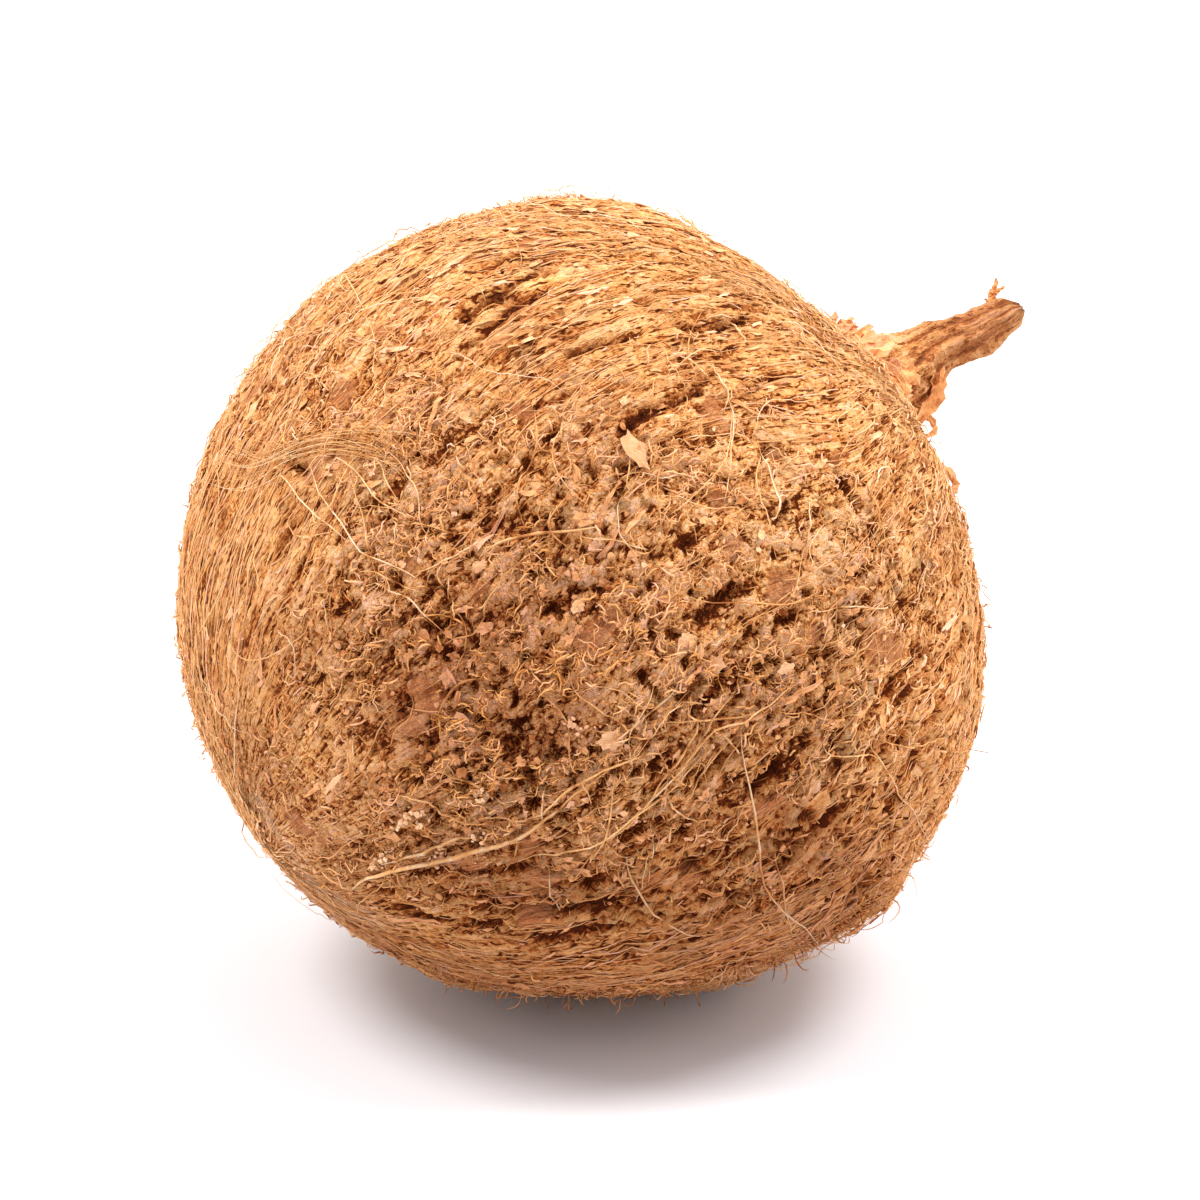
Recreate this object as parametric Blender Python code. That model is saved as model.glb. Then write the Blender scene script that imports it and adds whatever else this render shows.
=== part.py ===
"""A husked coconut lying on its side: the round nut in its coat of torn coir, with a spur of husk left at the stem end.

The nut grew as one piece, so it is one solid. It is shaped in its own frame, with the stem end up, and then laid down
on a small flat spot. Metres, +Z up, origin at the middle of that flat spot.
"""

import math
import random

import bmesh
import bpy
from mathutils import Matrix, Vector, noise

NAME = "coconut"
SEED = 12

# The nut in its own frame. An angle from the axis is 0 at the stem end and 180 degrees at the blossom end.
EQUATOR_RADIUS = 0.0577
STEM_FLATTENING = 0.115
STEM_FLATTENING_ANGLE = math.radians(33)
THREE_SIDED = 0.006
COLUMNS = 112
ROWS = 26

# Broad swells and hollows of the coat: angle from the axis, turn round it, how wide it spreads, how high it stands.
SWELLS = (
    (math.radians(84), math.radians(-29), math.radians(34), 0.0022),
    (math.radians(26), math.radians(180), math.radians(18), -0.0038),
    (math.radians(70), math.radians(105), math.radians(30), 0.0008),
)

# The coir's relief: bundles that run from end to end, broken by torn patches.
BUNDLES_ROUND = 29
BUNDLE_HEIGHT = 0.0042
BUNDLE_MEAN = 0.22
BUNDLE_LENGTH = math.radians(26)
BUNDLE_WANDER = math.radians(6)
WANDER_ROUND = 2.2
WANDER_ALONG = 1.7
PATCH_HEIGHT = 0.0013
PATCH_SIZE = 0.0105
POLE_CALM = math.radians(26)

# How it lies: the stem end leans to +X, a little back, and up from the surface.
STEM_TURN = math.radians(26.4)
STEM_RISE = math.radians(31.6)
REST_DEPTH = 0.00105
REST_BARE_RADIUS = 0.0108
REST_CALM_RADIUS = 0.0240

# The husk spur at the stem end: a tapered tongue that leans to one side, ribbed along its length.
LEAN_TURN = math.radians(-29)
STEM_END_HEIGHT = 0.0520
SPUR_ROOT = 0.0440
SPUR_TIP = 0.0802
SPUR_ROOT_LEAN = 0.0030
SPUR_TIP_LEAN = 0.0072
SPUR_ROOT_RADIUS = 0.0086
SPUR_TIP_RADIUS = 0.0015
SPUR_THICKNESS = 0.76
SPUR_RIBS = 5
SPUR_RIB_HEIGHT = 0.13
SPUR_KNOT_HEIGHT = 0.16
SPUR_KNOTS_ROUND = 1.3
SPUR_KNOTS_ALONG = 5.0
SPUR_TWIST = math.radians(50)
SPUR_SIDES = 16
SPUR_RINGS = 9

# Torn strips of husk: the collar round the spur's root, the strap and the loop on the side that the spur leans to, the
# forked sprig near its tip, and the loose flakes that stand out of the coat. Widths are at a strip's root and its tip.
STRIP_THICKNESS = 0.0010
STRIP_SUNK = 0.0022
COLLAR_STRIPS = 14
COLLAR_RADIUS = 0.0138
COLLAR_LEAN = 0.0050
COLLAR_RISE = (0.0026, 0.0050)
COLLAR_WIDTH = (0.0042, 0.0062)
STRAP_FROM = 0.42
STRAP_BEND_LEAN = 0.0125
STRAP_BEND_HEIGHT = 0.0580
STRAP_END_ANGLE = math.radians(13)
STRAP_WIDTHS = (0.0042, 0.0030)
LOOP_ANGLES = (math.radians(16.5), math.radians(20.5), math.radians(25))
LOOP_BEND = 0.0062
LOOP_WIDTHS = (0.0022, 0.0018)
SPRIG_FROM = 0.88
SPRIG_FORK_AT = 0.93
SPRIG_REACH = 0.0029
SPRIG_WIDTHS = (0.0016, 0.0012)
PRONG_WIDTHS = (0.0012, 0.0007)
FLAKES = 66
FLAKE_LENGTH = (0.0110, 0.0190)
FLAKE_WIDTH = (0.0024, 0.0042)
FLAKE_LIFT = (0.0014, 0.0028)
FLAKE_CLEAR_HEIGHT = 0.0100
FLAKE_ANGLES = (math.radians(26), math.radians(163))

COIR_COLOUR = (0.50, 0.27, 0.11, 1.0)
COIR_ROUGHNESS = 0.92
SHARP_ANGLE = math.radians(50)


def clear_scene():
    for item in list(bpy.data.objects):
        bpy.data.objects.remove(item, do_unlink=True)


def collection_named(name):
    made = bpy.data.collections.new(name)
    bpy.context.scene.collection.children.link(made)
    return made


def object_from(bm, name, collection):
    """The bmesh as an object in the collection."""
    mesh = bpy.data.meshes.new(name)
    bm.to_mesh(mesh)
    bm.free()
    made = bpy.data.objects.new(name, mesh)
    collection.objects.link(made)
    return made


def direction(angle, turn):
    """The unit vector at that angle from the nut's axis and that turn round it."""
    return Vector((math.sin(angle) * math.cos(turn), math.sin(angle) * math.sin(turn), math.cos(angle)))


def smooth_radius(angle, turn):
    """The nut without its relief: blunter at the stem end, faintly three-sided, with its broad swells."""
    flattened = STEM_FLATTENING * math.exp(-((angle / STEM_FLATTENING_ANGLE) ** 2))
    sides = THREE_SIDED * math.cos(3 * turn) * math.sin(angle) ** 2
    radius = EQUATOR_RADIUS * (1 - flattened + sides)
    here = direction(angle, turn)
    for swell_angle, swell_turn, spread, height in SWELLS:
        apart = here.angle(direction(swell_angle, swell_turn))
        radius += height * math.exp(-((apart / spread) ** 2))
    return radius


def surface(angle, turn, above=0.0):
    """The point of the smooth nut at that angle and turn, or above it."""
    return direction(angle, turn) * (smooth_radius(angle, turn) + above)


def relief(angle, turn):
    """How far the coir stands out there."""
    calm = min(1.0, math.sin(angle) / math.sin(POLE_CALM))
    round_scale = BUNDLES_ROUND / math.pi
    wander_at = Vector((WANDER_ROUND * math.cos(turn), WANDER_ROUND * math.sin(turn), WANDER_ALONG * angle))
    wander = BUNDLE_WANDER * noise.noise(wander_at)
    swept = turn + wander
    bundle_at = Vector((round_scale * math.cos(swept), round_scale * math.sin(swept), angle / BUNDLE_LENGTH))
    patch_at = direction(angle, turn) * (EQUATOR_RADIUS / PATCH_SIZE) + Vector((7.0, 3.0, 5.0))
    bundles = abs(noise.noise(bundle_at)) - BUNDLE_MEAN
    return calm * (BUNDLE_HEIGHT * bundles + PATCH_HEIGHT * noise.noise(patch_at))


def lying_down():
    """The turn that lays the nut from its own frame to how it rests. Turn 0 ends up on its lower side."""
    stem = Vector(
        (
            math.cos(STEM_RISE) * math.cos(STEM_TURN),
            math.cos(STEM_RISE) * math.sin(STEM_TURN),
            math.sin(STEM_RISE),
        )
    )
    level = Vector((0, 0, 1)).cross(stem).normalized()
    lower = level.cross(stem)
    return Matrix((lower, level, stem)).transposed()


def lowest_of_nut(laid):
    """The lowest point of the smooth nut as it lies, measured from the nut's centre."""
    steps = 120
    lowest = Vector()
    for i in range(steps + 1):
        for j in range(2 * steps):
            point = laid @ surface(math.pi * i / steps, math.pi * j / steps)
            if point.z < lowest.z:
                lowest = point
    return lowest


def make_nut(laid, lowest, collection):
    """The round body with its relief, pressed flat where it rests."""
    bm = bmesh.new()
    bmesh.ops.create_uvsphere(bm, u_segments=COLUMNS, v_segments=ROWS, radius=1.0)
    floor = lowest.z + REST_DEPTH
    for vertex in bm.verts:
        here = vertex.co.normalized()
        angle = math.acos(max(-1.0, min(1.0, here.z)))
        turn = math.atan2(here.y, here.x)
        smooth = laid @ surface(angle, turn)
        calm = 1.0
        if smooth.z < 0:
            beside = (smooth - lowest).to_2d().length
            calm = min(1.0, max(0.0, beside - REST_BARE_RADIUS) / (REST_CALM_RADIUS - REST_BARE_RADIUS))
        vertex.co = smooth + (laid @ here) * relief(angle, turn) * calm
        vertex.co.z = max(vertex.co.z, floor)
    return object_from(bm, NAME, collection)


def lean_frame():
    """Unit vectors of the spur: the way it leans, and across that."""
    lean = direction(math.pi / 2, LEAN_TURN)
    return lean, Vector((0, 0, 1)).cross(lean)


def spur_middle(t):
    """The spur's middle line, from its sunk root at 0 to its tip at 1."""
    lean, _ = lean_frame()
    leaning = SPUR_ROOT_LEAN + (SPUR_TIP_LEAN - SPUR_ROOT_LEAN) * t**1.1
    return lean * leaning + Vector((0, 0, SPUR_ROOT + (SPUR_TIP - SPUR_ROOT) * t))


def spur_radius(t, turn):
    """The spur's half width there, with its ribs."""
    plain = SPUR_TIP_RADIUS + (SPUR_ROOT_RADIUS - SPUR_TIP_RADIUS) * (1 - t) ** 0.85
    ribs = SPUR_RIB_HEIGHT * math.cos(SPUR_RIBS * turn + SPUR_TWIST * t)
    knot_at = Vector((SPUR_KNOTS_ROUND * math.cos(turn), SPUR_KNOTS_ROUND * math.sin(turn), SPUR_KNOTS_ALONG * t))
    return plain * (1 + ribs + SPUR_KNOT_HEIGHT * noise.noise(knot_at))


def make_spur(laid, collection):
    bm = bmesh.new()
    bmesh.ops.create_cone(bm, cap_ends=True, segments=SPUR_SIDES, radius1=1.0, radius2=1.0, depth=1.0)
    lengthwise = [edge for edge in bm.edges if abs(edge.verts[0].co.z - edge.verts[1].co.z) > 0.5]
    bmesh.ops.subdivide_edges(bm, edges=lengthwise, cuts=SPUR_RINGS - 1, use_grid_fill=True)
    lean, across = lean_frame()
    for vertex in bm.verts:
        t = vertex.co.z + 0.5
        turn = math.atan2(vertex.co.y, vertex.co.x)
        radius = spur_radius(t, turn)
        sideways = lean * math.cos(turn) + across * math.sin(turn) * SPUR_THICKNESS
        vertex.co = laid @ (spur_middle(t) + sideways * radius)
    return object_from(bm, "spur", collection)


def make_strip(laid, collection, root, middle, tip, side, widths, cuts):
    """A torn strip of husk on a curve through three points. side points across it, and widths are at root and tip."""
    bm = bmesh.new()
    bmesh.ops.create_cube(bm, size=1.0)
    lengthwise = [edge for edge in bm.edges if abs(edge.verts[0].co.z - edge.verts[1].co.z) > 0.5]
    bmesh.ops.subdivide_edges(bm, edges=lengthwise, cuts=cuts, use_grid_fill=True)
    for vertex in bm.verts:
        t = vertex.co.z + 0.5
        at = root * (1 - t) ** 2 + middle * 2 * t * (1 - t) + tip * t**2
        along = ((middle - root) * (1 - t) + (tip - middle) * t).normalized()
        broad = (side - along * side.dot(along)).normalized()
        thick = along.cross(broad)
        width = widths[0] + (widths[1] - widths[0]) * t
        thickness = STRIP_THICKNESS * (1 - 0.35 * t)
        vertex.co = laid @ (at + broad * (vertex.co.x * width) + thick * (vertex.co.y * thickness))
    return object_from(bm, "strip", collection)


def make_collar(laid, collection, draw):
    """The ragged ring of short strips that the husk tore into round the spur."""
    lean, across = lean_frame()
    axis = Vector((0, 0, 1))
    for i in range(COLLAR_STRIPS):
        turn = 2 * math.pi * (i + draw.uniform(-0.3, 0.3)) / COLLAR_STRIPS
        outward = lean * math.cos(turn) + across * math.sin(turn)
        beside = lean * COLLAR_LEAN + outward * COLLAR_RADIUS * draw.uniform(0.88, 1.1)
        angle = math.atan2(beside.length, STEM_END_HEIGHT)
        root = surface(angle, math.atan2(beside.y, beside.x), -STRIP_SUNK)
        rise = draw.uniform(*COLLAR_RISE)
        middle = root + axis * rise + outward * draw.uniform(0.0004, 0.0012)
        tip = middle + axis * rise * 0.35 - outward * draw.uniform(0.0006, 0.0026)
        width = draw.uniform(*COLLAR_WIDTH)
        make_strip(laid, collection, root, middle, tip, axis.cross(outward), (width, width * 0.3), 2)


def make_tears(laid, collection):
    """The strips that the outline shows: the strap under the spur, a loop below it, and the forked sprig near its tip."""
    lean, across = lean_frame()
    axis = Vector((0, 0, 1))
    strap_root = spur_middle(STRAP_FROM) + lean * SPUR_ROOT_RADIUS * 0.3
    strap_bend = axis * STRAP_BEND_HEIGHT + lean * STRAP_BEND_LEAN
    strap_end = surface(STRAP_END_ANGLE, LEAN_TURN, -STRIP_SUNK)
    make_strip(laid, collection, strap_root, strap_bend, strap_end, across, STRAP_WIDTHS, 3)
    loop_root = surface(LOOP_ANGLES[0], LEAN_TURN, -STRIP_SUNK)
    loop_bend = surface(LOOP_ANGLES[1], LEAN_TURN, LOOP_BEND)
    loop_end = surface(LOOP_ANGLES[2], LEAN_TURN, -STRIP_SUNK)
    make_strip(laid, collection, loop_root, loop_bend, loop_end, across, LOOP_WIDTHS, 3)
    sprig_root = spur_middle(SPRIG_FROM)
    fork = spur_middle(SPRIG_FORK_AT) - lean * SPRIG_REACH
    make_strip(laid, collection, sprig_root, sprig_root.lerp(fork, 0.5), fork, across, SPRIG_WIDTHS, 1)
    for prong in (axis * 0.0018 - lean * 0.0005, axis * 0.0012 + lean * 0.0012):
        start = fork - prong * 0.5
        make_strip(laid, collection, start, fork + prong * 0.4, fork + prong, across, PRONG_WIDTHS, 1)


def make_flakes(laid, lowest, collection, draw):
    """Flakes of coir all over the coat, lying along the bundles, with one end lifted."""
    golden_turn = math.pi * (3 - math.sqrt(5))
    for i in range(FLAKES):
        angle = math.acos(1 - 2 * (i + 0.5) / FLAKES) + math.radians(draw.uniform(-3, 3))
        turn = i * golden_turn + math.radians(draw.uniform(-5, 5))
        length = draw.uniform(*FLAKE_LENGTH)
        width = draw.uniform(*FLAKE_WIDTH)
        lift = draw.uniform(*FLAKE_LIFT)
        way = draw.choice((-1, 1))
        sway = math.radians(draw.uniform(-5, 5))
        if not FLAKE_ANGLES[0] < angle < FLAKE_ANGLES[1]:
            continue
        turned = length / EQUATOR_RADIUS
        root = surface(angle, turn, -STRIP_SUNK)
        middle = surface(angle + way * turned / 2, turn + sway / 2, lift * 0.35)
        tip = surface(angle + way * turned, turn + sway, lift)
        if (laid @ tip).z - lowest.z < FLAKE_CLEAR_HEIGHT:
            continue
        side = direction(math.pi / 2, turn + math.pi / 2)
        make_strip(laid, collection, root, middle, tip, side, (width, width * 0.35), 2)


def join_all(body, repeats):
    """One Boolean union of the body with every object of the collection, applied, and the collection's objects removed."""
    union = body.modifiers.new("grown together", "BOOLEAN")
    union.operation = "UNION"
    union.operand_type = "COLLECTION"
    union.collection = repeats
    union.solver = "MANIFOLD"
    bpy.context.view_layer.update()
    evaluated = body.evaluated_get(bpy.context.evaluated_depsgraph_get())
    joined = bpy.data.meshes.new_from_object(evaluated)
    body.modifiers.clear()
    body.data = joined
    for item in list(repeats.objects):
        bpy.data.objects.remove(item, do_unlink=True)
    bpy.data.collections.remove(repeats)


def coir_material():
    made = bpy.data.materials.new("coir")
    made.use_nodes = True
    shader = made.node_tree.nodes["Principled BSDF"]
    shader.inputs["Base Color"].default_value = COIR_COLOUR
    shader.inputs["Roughness"].default_value = COIR_ROUGHNESS
    shader.inputs["Metallic"].default_value = 0.0
    return made


clear_scene()
parts = collection_named(NAME)
torn = collection_named("torn_husk")
draw = random.Random(SEED)
laid = lying_down()
lowest = lowest_of_nut(laid)
nut = make_nut(laid, lowest, parts)
make_spur(laid, torn)
make_collar(laid, torn, draw)
make_tears(laid, torn)
make_flakes(laid, lowest, torn, draw)
join_all(nut, torn)
nut.data.materials.clear()
nut.data.materials.append(coir_material())
nut.data.shade_smooth()
nut.data.set_sharp_from_angle(angle=SHARP_ANGLE)
nut.location = (-lowest.x, -lowest.y, -lowest.z - REST_DEPTH)
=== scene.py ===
"""The looks of the husked coconut: its coat of coir, its husk spur, its fibres, chips and hairs, and a plain studio."""

import math

import bmesh
import bpy
import numpy as np
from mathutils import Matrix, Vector, noise


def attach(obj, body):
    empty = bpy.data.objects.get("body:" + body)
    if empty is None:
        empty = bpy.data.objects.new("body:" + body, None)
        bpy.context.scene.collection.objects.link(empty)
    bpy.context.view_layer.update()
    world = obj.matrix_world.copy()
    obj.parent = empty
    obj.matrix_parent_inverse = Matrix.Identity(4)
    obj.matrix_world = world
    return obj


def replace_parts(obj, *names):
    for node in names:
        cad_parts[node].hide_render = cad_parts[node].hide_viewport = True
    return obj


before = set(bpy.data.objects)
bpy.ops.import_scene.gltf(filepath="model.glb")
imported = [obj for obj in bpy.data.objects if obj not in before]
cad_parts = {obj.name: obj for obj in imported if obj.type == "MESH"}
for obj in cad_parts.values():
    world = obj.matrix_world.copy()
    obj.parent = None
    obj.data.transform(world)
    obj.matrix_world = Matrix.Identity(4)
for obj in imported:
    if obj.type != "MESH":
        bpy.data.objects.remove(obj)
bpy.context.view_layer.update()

# The coat of coir.
# The mat of fibre that is left when the husk is torn off: bundles from the stem end to the blossom end, in torn layers
# split by slits, rubbed to crumbs on the side that shows. It grew round the nut, so it keeps the solid's own form.

# Metres, in the model's frame: its origin is under the nut, on the floor.
NUT_MIDDLE = np.array((-0.002039, 0.000464, 0.057264))
EQUATOR_RADIUS = 0.0577
COAT_STANDS_OUT = 1.012
STEM_FLATTENING = 0.115
STEM_FLATTENING_ANGLE = math.radians(33)
THREE_SIDED = 0.006
# Each swell's angle from the stem end, its turn round the axis, its spread and its height.
SWELLS = (
    (math.radians(84), math.radians(-29), math.radians(34), 0.0022),
    (math.radians(26), math.radians(180), math.radians(18), -0.0038),
    (math.radians(70), math.radians(105), math.radians(30), 0.0008),
)
# The stem end points this far round from +X and up. The camera looks along +Y and down.
STEM_TURN = math.radians(26.4)
STEM_RISE = math.radians(31.6)
LOOK_DOWN = math.radians(17)
FOCAL_PIXELS = 3000.0
PIXELS_PER_METRE = 6950.0
FRAME_MIDDLE = 600.0
NUT_SEEN_AT = 585.0

stem_level = np.array((math.cos(STEM_TURN), math.sin(STEM_TURN), 0.0))
stem = stem_level * math.cos(STEM_RISE) + np.array((0.0, 0.0, math.sin(STEM_RISE)))
level = np.cross((0, 0, 1), stem)
level /= np.linalg.norm(level)
# Turns the nut's own frame, with its axis up, to the way that the nut lies.
laid = np.stack((np.cross(level, stem), level, stem), axis=1)

look_along = np.array((0.0, math.cos(LOOK_DOWN), -math.sin(LOOK_DOWN)))
look_up = np.array((0.0, math.sin(LOOK_DOWN), math.cos(LOOK_DOWN)))
look_right = np.array((1.0, 0.0, 0.0))
aim = NUT_MIDDLE + look_right * (FRAME_MIDDLE - NUT_SEEN_AT) / PIXELS_PER_METRE
eye = aim - look_along * FOCAL_PIXELS / PIXELS_PER_METRE


def unit(vectors):
    return vectors / np.maximum(np.linalg.norm(vectors, axis=-1, keepdims=True), 1e-12)


def between(values, low, high):
    """0 up to low, 1 from high, and straight in between."""
    return np.clip((values - low) / (high - low), 0, 1)


def direction(angle, turn):
    """Unit vectors at that angle from the stem end and that turn round the nut's axis."""
    return np.stack((np.sin(angle) * np.cos(turn), np.sin(angle) * np.sin(turn), np.cos(angle) + 0 * turn), axis=-1)


def angle_and_turn(here):
    return np.arccos(np.clip(here[..., 2], -1, 1)), np.arctan2(here[..., 1], here[..., 0])


def shown_at(px, py):
    """The place on the nut that shows at that pixel of the photograph, as a unit vector in the nut's own frame."""
    ray = unit(look_along + (look_right * (px - FRAME_MIDDLE) - look_up * (py - FRAME_MIDDLE)) / FOCAL_PIXELS)
    start = eye - NUT_MIDDLE
    middle = start @ ray
    under_root = max(0.0, middle**2 - start @ start + (EQUATOR_RADIUS * COAT_STANDS_OUT) ** 2)
    return unit((start + ray * (-middle - math.sqrt(under_root))) @ laid)


def nearness(here, px, py, reach_px):
    """1 at that pixel's place on the nut, falling off over that many pixels."""
    apart = np.arccos(np.clip(here @ shown_at(px, py), -1, 1))
    return np.exp(-((apart * EQUATOR_RADIUS * PIXELS_PER_METRE / reach_px) ** 2))


def in_spots(here, spots):
    """The sum of round spots that fade outwards, each a pixel of the photograph, a reach in pixels and a weight."""
    return sum(weight * nearness(here, px, py, reach) for px, py, reach, weight in spots)


def noise_at(points, read=noise.noise):
    return np.array([read(p) for p in points.reshape(-1, 3).tolist()]).reshape(points.shape[:-1])


def crumble_at(points):
    """Noise with ever finer detail, for torn and crumbling edges."""
    return noise_at(points, lambda p: noise.fractal(p, 0.8, 2.1, 3))


def grain_points(angle, turn, cells_round, cell_length):
    """Where to read noise that is stretched along the coir, so many cells round and of that length in radians."""
    scale = cells_round / math.tau
    return np.stack((scale * np.cos(turn), scale * np.sin(turn), angle / cell_length), axis=-1)


GRAIN_END = shown_at(945, 460)
GRAIN_PULL_ANGLE = math.radians(50)
GRAIN_WAVER = math.radians(6)


def along_grain(here):
    """Angle and turn about the place beside the stem end where the fibres run together, and wavering as they do."""
    angle, turn = angle_and_turn(here)
    pull = np.exp(-((angle / GRAIN_PULL_ANGLE) ** 2))[..., None]
    angle, turn = angle_and_turn(unit(here - pull * (GRAIN_END - (0, 0, 1))))
    waver = noise_at(np.stack((2.2 * np.cos(turn), 2.2 * np.sin(turn), 1.7 * angle), axis=-1))
    return angle, turn + GRAIN_WAVER * waver


# Shallow hollows of the coat as a pixel of the photograph, a reach in pixels and a depth, which is below 0 for a swell.
HOLLOWS = (
    (993, 571, 80, 0.0010), (960, 434, 50, 0.0018), (814, 261, 70, 0.0010), (838, 325, 45, 0.0021),
    (520, 1006, 75, 0.0014), (610, 1010, 75, 0.0014), (700, 1000, 75, 0.0014), (790, 955, 60, 0.0009),
    (630, 192, 75, -0.0006), (974, 474, 40, 0.0010), (459, 211, 60, 0.0010), (870, 892, 48, -0.0015),
    (406, 232, 40, 0.0011), (385, 955, 55, 0.0007),
)


def smooth_radius(here):
    angle, turn = angle_and_turn(here)
    flattened = STEM_FLATTENING * np.exp(-((angle / STEM_FLATTENING_ANGLE) ** 2))
    radius = EQUATOR_RADIUS * (1 - flattened + THREE_SIDED * np.cos(3 * turn) * np.sin(angle) ** 2)
    for swell_angle, swell_turn, spread, height in SWELLS:
        apart = np.arccos(np.clip(here @ direction(np.array(swell_angle), np.array(swell_turn)), -1, 1))
        radius = radius + height * np.exp(-((apart / spread) ** 2))
    return radius - in_spots(here, HOLLOWS)


RUBBED_SPOTS = (
    (560, 650, 230, 1.25), (400, 560, 110, 0.45), (820, 560, 110, 0.50), (380, 330, 110, 0.25), (225, 600, 95, -0.80),
    (560, 960, 90, -0.70), (890, 850, 110, -0.70), (690, 280, 130, -0.45), (285, 800, 90, 0.30),
)


def rubbed_at(here):
    """How far the coat is rubbed to crumbs, most in the middle of the side that shows."""
    return np.clip(in_spots(here, RUBBED_SPOTS) + 0.05 + 0.50 * noise_at(here * 2.6), 0, 1)


SLEEK_SPOTS = (
    (205, 560, 120, 1.3), (320, 900, 55, 1.0), (400, 950, 50, 0.8), (470, 965, 55, 0.9), (560, 978, 55, 0.9),
    (650, 972, 55, 0.9), (740, 950, 55, 0.7),
)


def sleek_at(here):
    """Where the fibres still lie combed flat and close together."""
    return np.clip(in_spots(here, SLEEK_SPOTS), 0, 1)


SANDY_SPOTS = (
    (285, 800, 85, 1.3), (240, 690, 60, 0.8), (340, 760, 60, 0.6), (592, 702, 30, 1.0), (662, 600, 26, 0.8),
    (628, 742, 24, 0.8), (500, 592, 26, 0.7), (690, 740, 26, 0.7), (470, 820, 24, 0.6), (742, 600, 24, 0.6),
)


def sandy_at(here):
    """Where the coat is rubbed down even and covered in fine crumbs."""
    return np.clip(in_spots(here, SANDY_SPOTS), 0, 1)


# Painted shade and real colour: the spots low on the nut darken its underside and low front as painted shade, and the
# others mark the coir's own darker brown.
BROWN_AND_SHADE_SPOTS = (
    (530, 660, 165, 0.78), (600, 820, 200, 0.12), (560, 1000, 190, 0.90), (820, 900, 150, 1.10),
    (400, 960, 110, 0.60), (225, 570, 90, 0.25), (285, 790, 110, 0.55), (730, 830, 110, 0.20), (440, 690, 75, 0.60),
    (450, 885, 45, 0.50), (540, 892, 45, 0.60), (630, 890, 45, 0.50),
)


def brown_and_shade_at(here):
    """Where the coat is darker brown: partly the coir's own weathered colour, partly painted shade on the nut's
    underside and low front.
    """
    return np.clip(in_spots(here, BROWN_AND_SHADE_SPOTS) + 0.45 * noise_at(here * 3.4 + 23), 0, 1)


DEEP_SPOTS = (
    (800, 820, 150, 0.90), (620, 865, 120, 0.80), (470, 875, 90, 0.60), (560, 640, 120, 0.25), (600, 220, 250, -0.42),
    (850, 400, 120, -0.30),
)


def deep_at(here):
    """How much deeper than elsewhere the coat is torn."""
    return np.clip(in_spots(here, DEEP_SPOTS), -0.5, 1)


BARE_SPOTS = (
    (590, 640, 17), (610, 620, 12), (420, 690, 18), (478, 590, 10), (690, 884, 13), (655, 884, 11), (530, 850, 11),
    (540, 885, 16), (470, 870, 14), (500, 905, 12), (428, 708, 12), (575, 440, 8), (735, 545, 13), (385, 625, 12),
)


def bare_at(here):
    """Where the coat is worn through to smooth red-brown husk."""
    worn = in_spots(here, [(*spot, 1.0) for spot in BARE_SPOTS])
    return between(worn + between(noise_at(here * 9.0 + 40), 0.44, 0.60), 0.3, 0.8)


# Each slit and each wider groove as a line through pixels of the photograph.
SLITS = (
    ((444, 333), (500, 286), (552, 260)), ((455, 350), (510, 305), (545, 285)), ((622, 428), (650, 408), (702, 388)),
    ((716, 324), (748, 313)), ((752, 386), (785, 374)), ((752, 792), (780, 772), (808, 746)),
    ((793, 838), (830, 812), (868, 785)), ((700, 905), (735, 896), (752, 888)), ((640, 912), (680, 906)),
    ((560, 938), (600, 932), (640, 928)), ((515, 872), (560, 876)), ((470, 925), (520, 940), (575, 950)),
    ((760, 865), (790, 850)), ((905, 800), (930, 770)), ((680, 320), (700, 325)),
    ((570, 350), (610, 338), (640, 330)), ((840, 470), (860, 505)), ((780, 520), (792, 500)),
    ((290, 462), (300, 470)), ((735, 905), (765, 880), (800, 850), (842, 812)), ((380, 905), (430, 922), (490, 938)),
    ((500, 958), (560, 964), (640, 960)), ((594, 912), (660, 922), (730, 916), (762, 902)),
    ((242, 804), (252, 822), (262, 840), (276, 862), (288, 876)), ((820, 322), (840, 340), (856, 358)),
    ((872, 404), (890, 432)),
)
GROOVES = (
    ((735, 905), (765, 880), (800, 850), (842, 812)), ((462, 312), (478, 300), (492, 292)),
    ((488, 915), (560, 916), (640, 908)), ((700, 620), (722, 600), (738, 588)),
)
SLIT_HALF_WIDTH = 3.8 / PIXELS_PER_METRE
GROOVE_HALF_WIDTH = 6.5 / PIXELS_PER_METRE


def points_along(lines):
    """Places on the nut close together along the lines of pixels."""
    ends = [(shown_at(*a), shown_at(*b)) for line in lines for a, b in zip(line, line[1:])]
    return np.array([unit(a * (1 - t) + b * t) for a, b in ends for t in np.linspace(0, 1, 12)])


slit_line = points_along(SLITS)
groove_line = points_along(GROOVES)


def near_line(here, line, half_width):
    """1 on the line of places, falling off over that many metres."""
    flat = here.reshape(-1, 3)
    nearest = np.arccos(np.clip((flat @ line.T).max(axis=1), -1, 1)) * EQUATOR_RADIUS
    return np.exp(-((nearest / half_width) ** 2)).reshape(here.shape[:-1])


def slit_at(here, wider=1.0):
    """1 in the middle of the long slits and grooves that show, where the coat has split between two bundles."""
    slits = near_line(here, slit_line, wider * SLIT_HALF_WIDTH)
    return np.maximum(slits, near_line(here, groove_line, wider * GROOVE_HALF_WIDTH))


# The relief, from the bundles down to the pits: how many lie round the nut, and how long each is along the grain.
BUNDLES = (58, math.radians(26))
LAYERS = (62, math.radians(15))
STRANDS = (170, math.radians(13))
SPLITS = (165, math.radians(7))
PITS = (260, math.radians(1.9))
PATCH_SIZE = 0.0105
CLUMP_SIZE = 0.0024
# How high or deep each kind is, in metres.
BUNDLE_HEIGHT = 0.0009
PATCH_HEIGHT = 0.0004
LEDGE_HEIGHT = 0.00070
STRAND_HEIGHT = 0.00040
SPLIT_DEPTH = 0.00085
PIT_DEPTH = 0.00090
CLUMP_HEIGHT = 0.00070
SLIT_DEPTH = 0.0016
DEEPEST = 0.0019
BROAD_RELIEF = 0.0100
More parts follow.
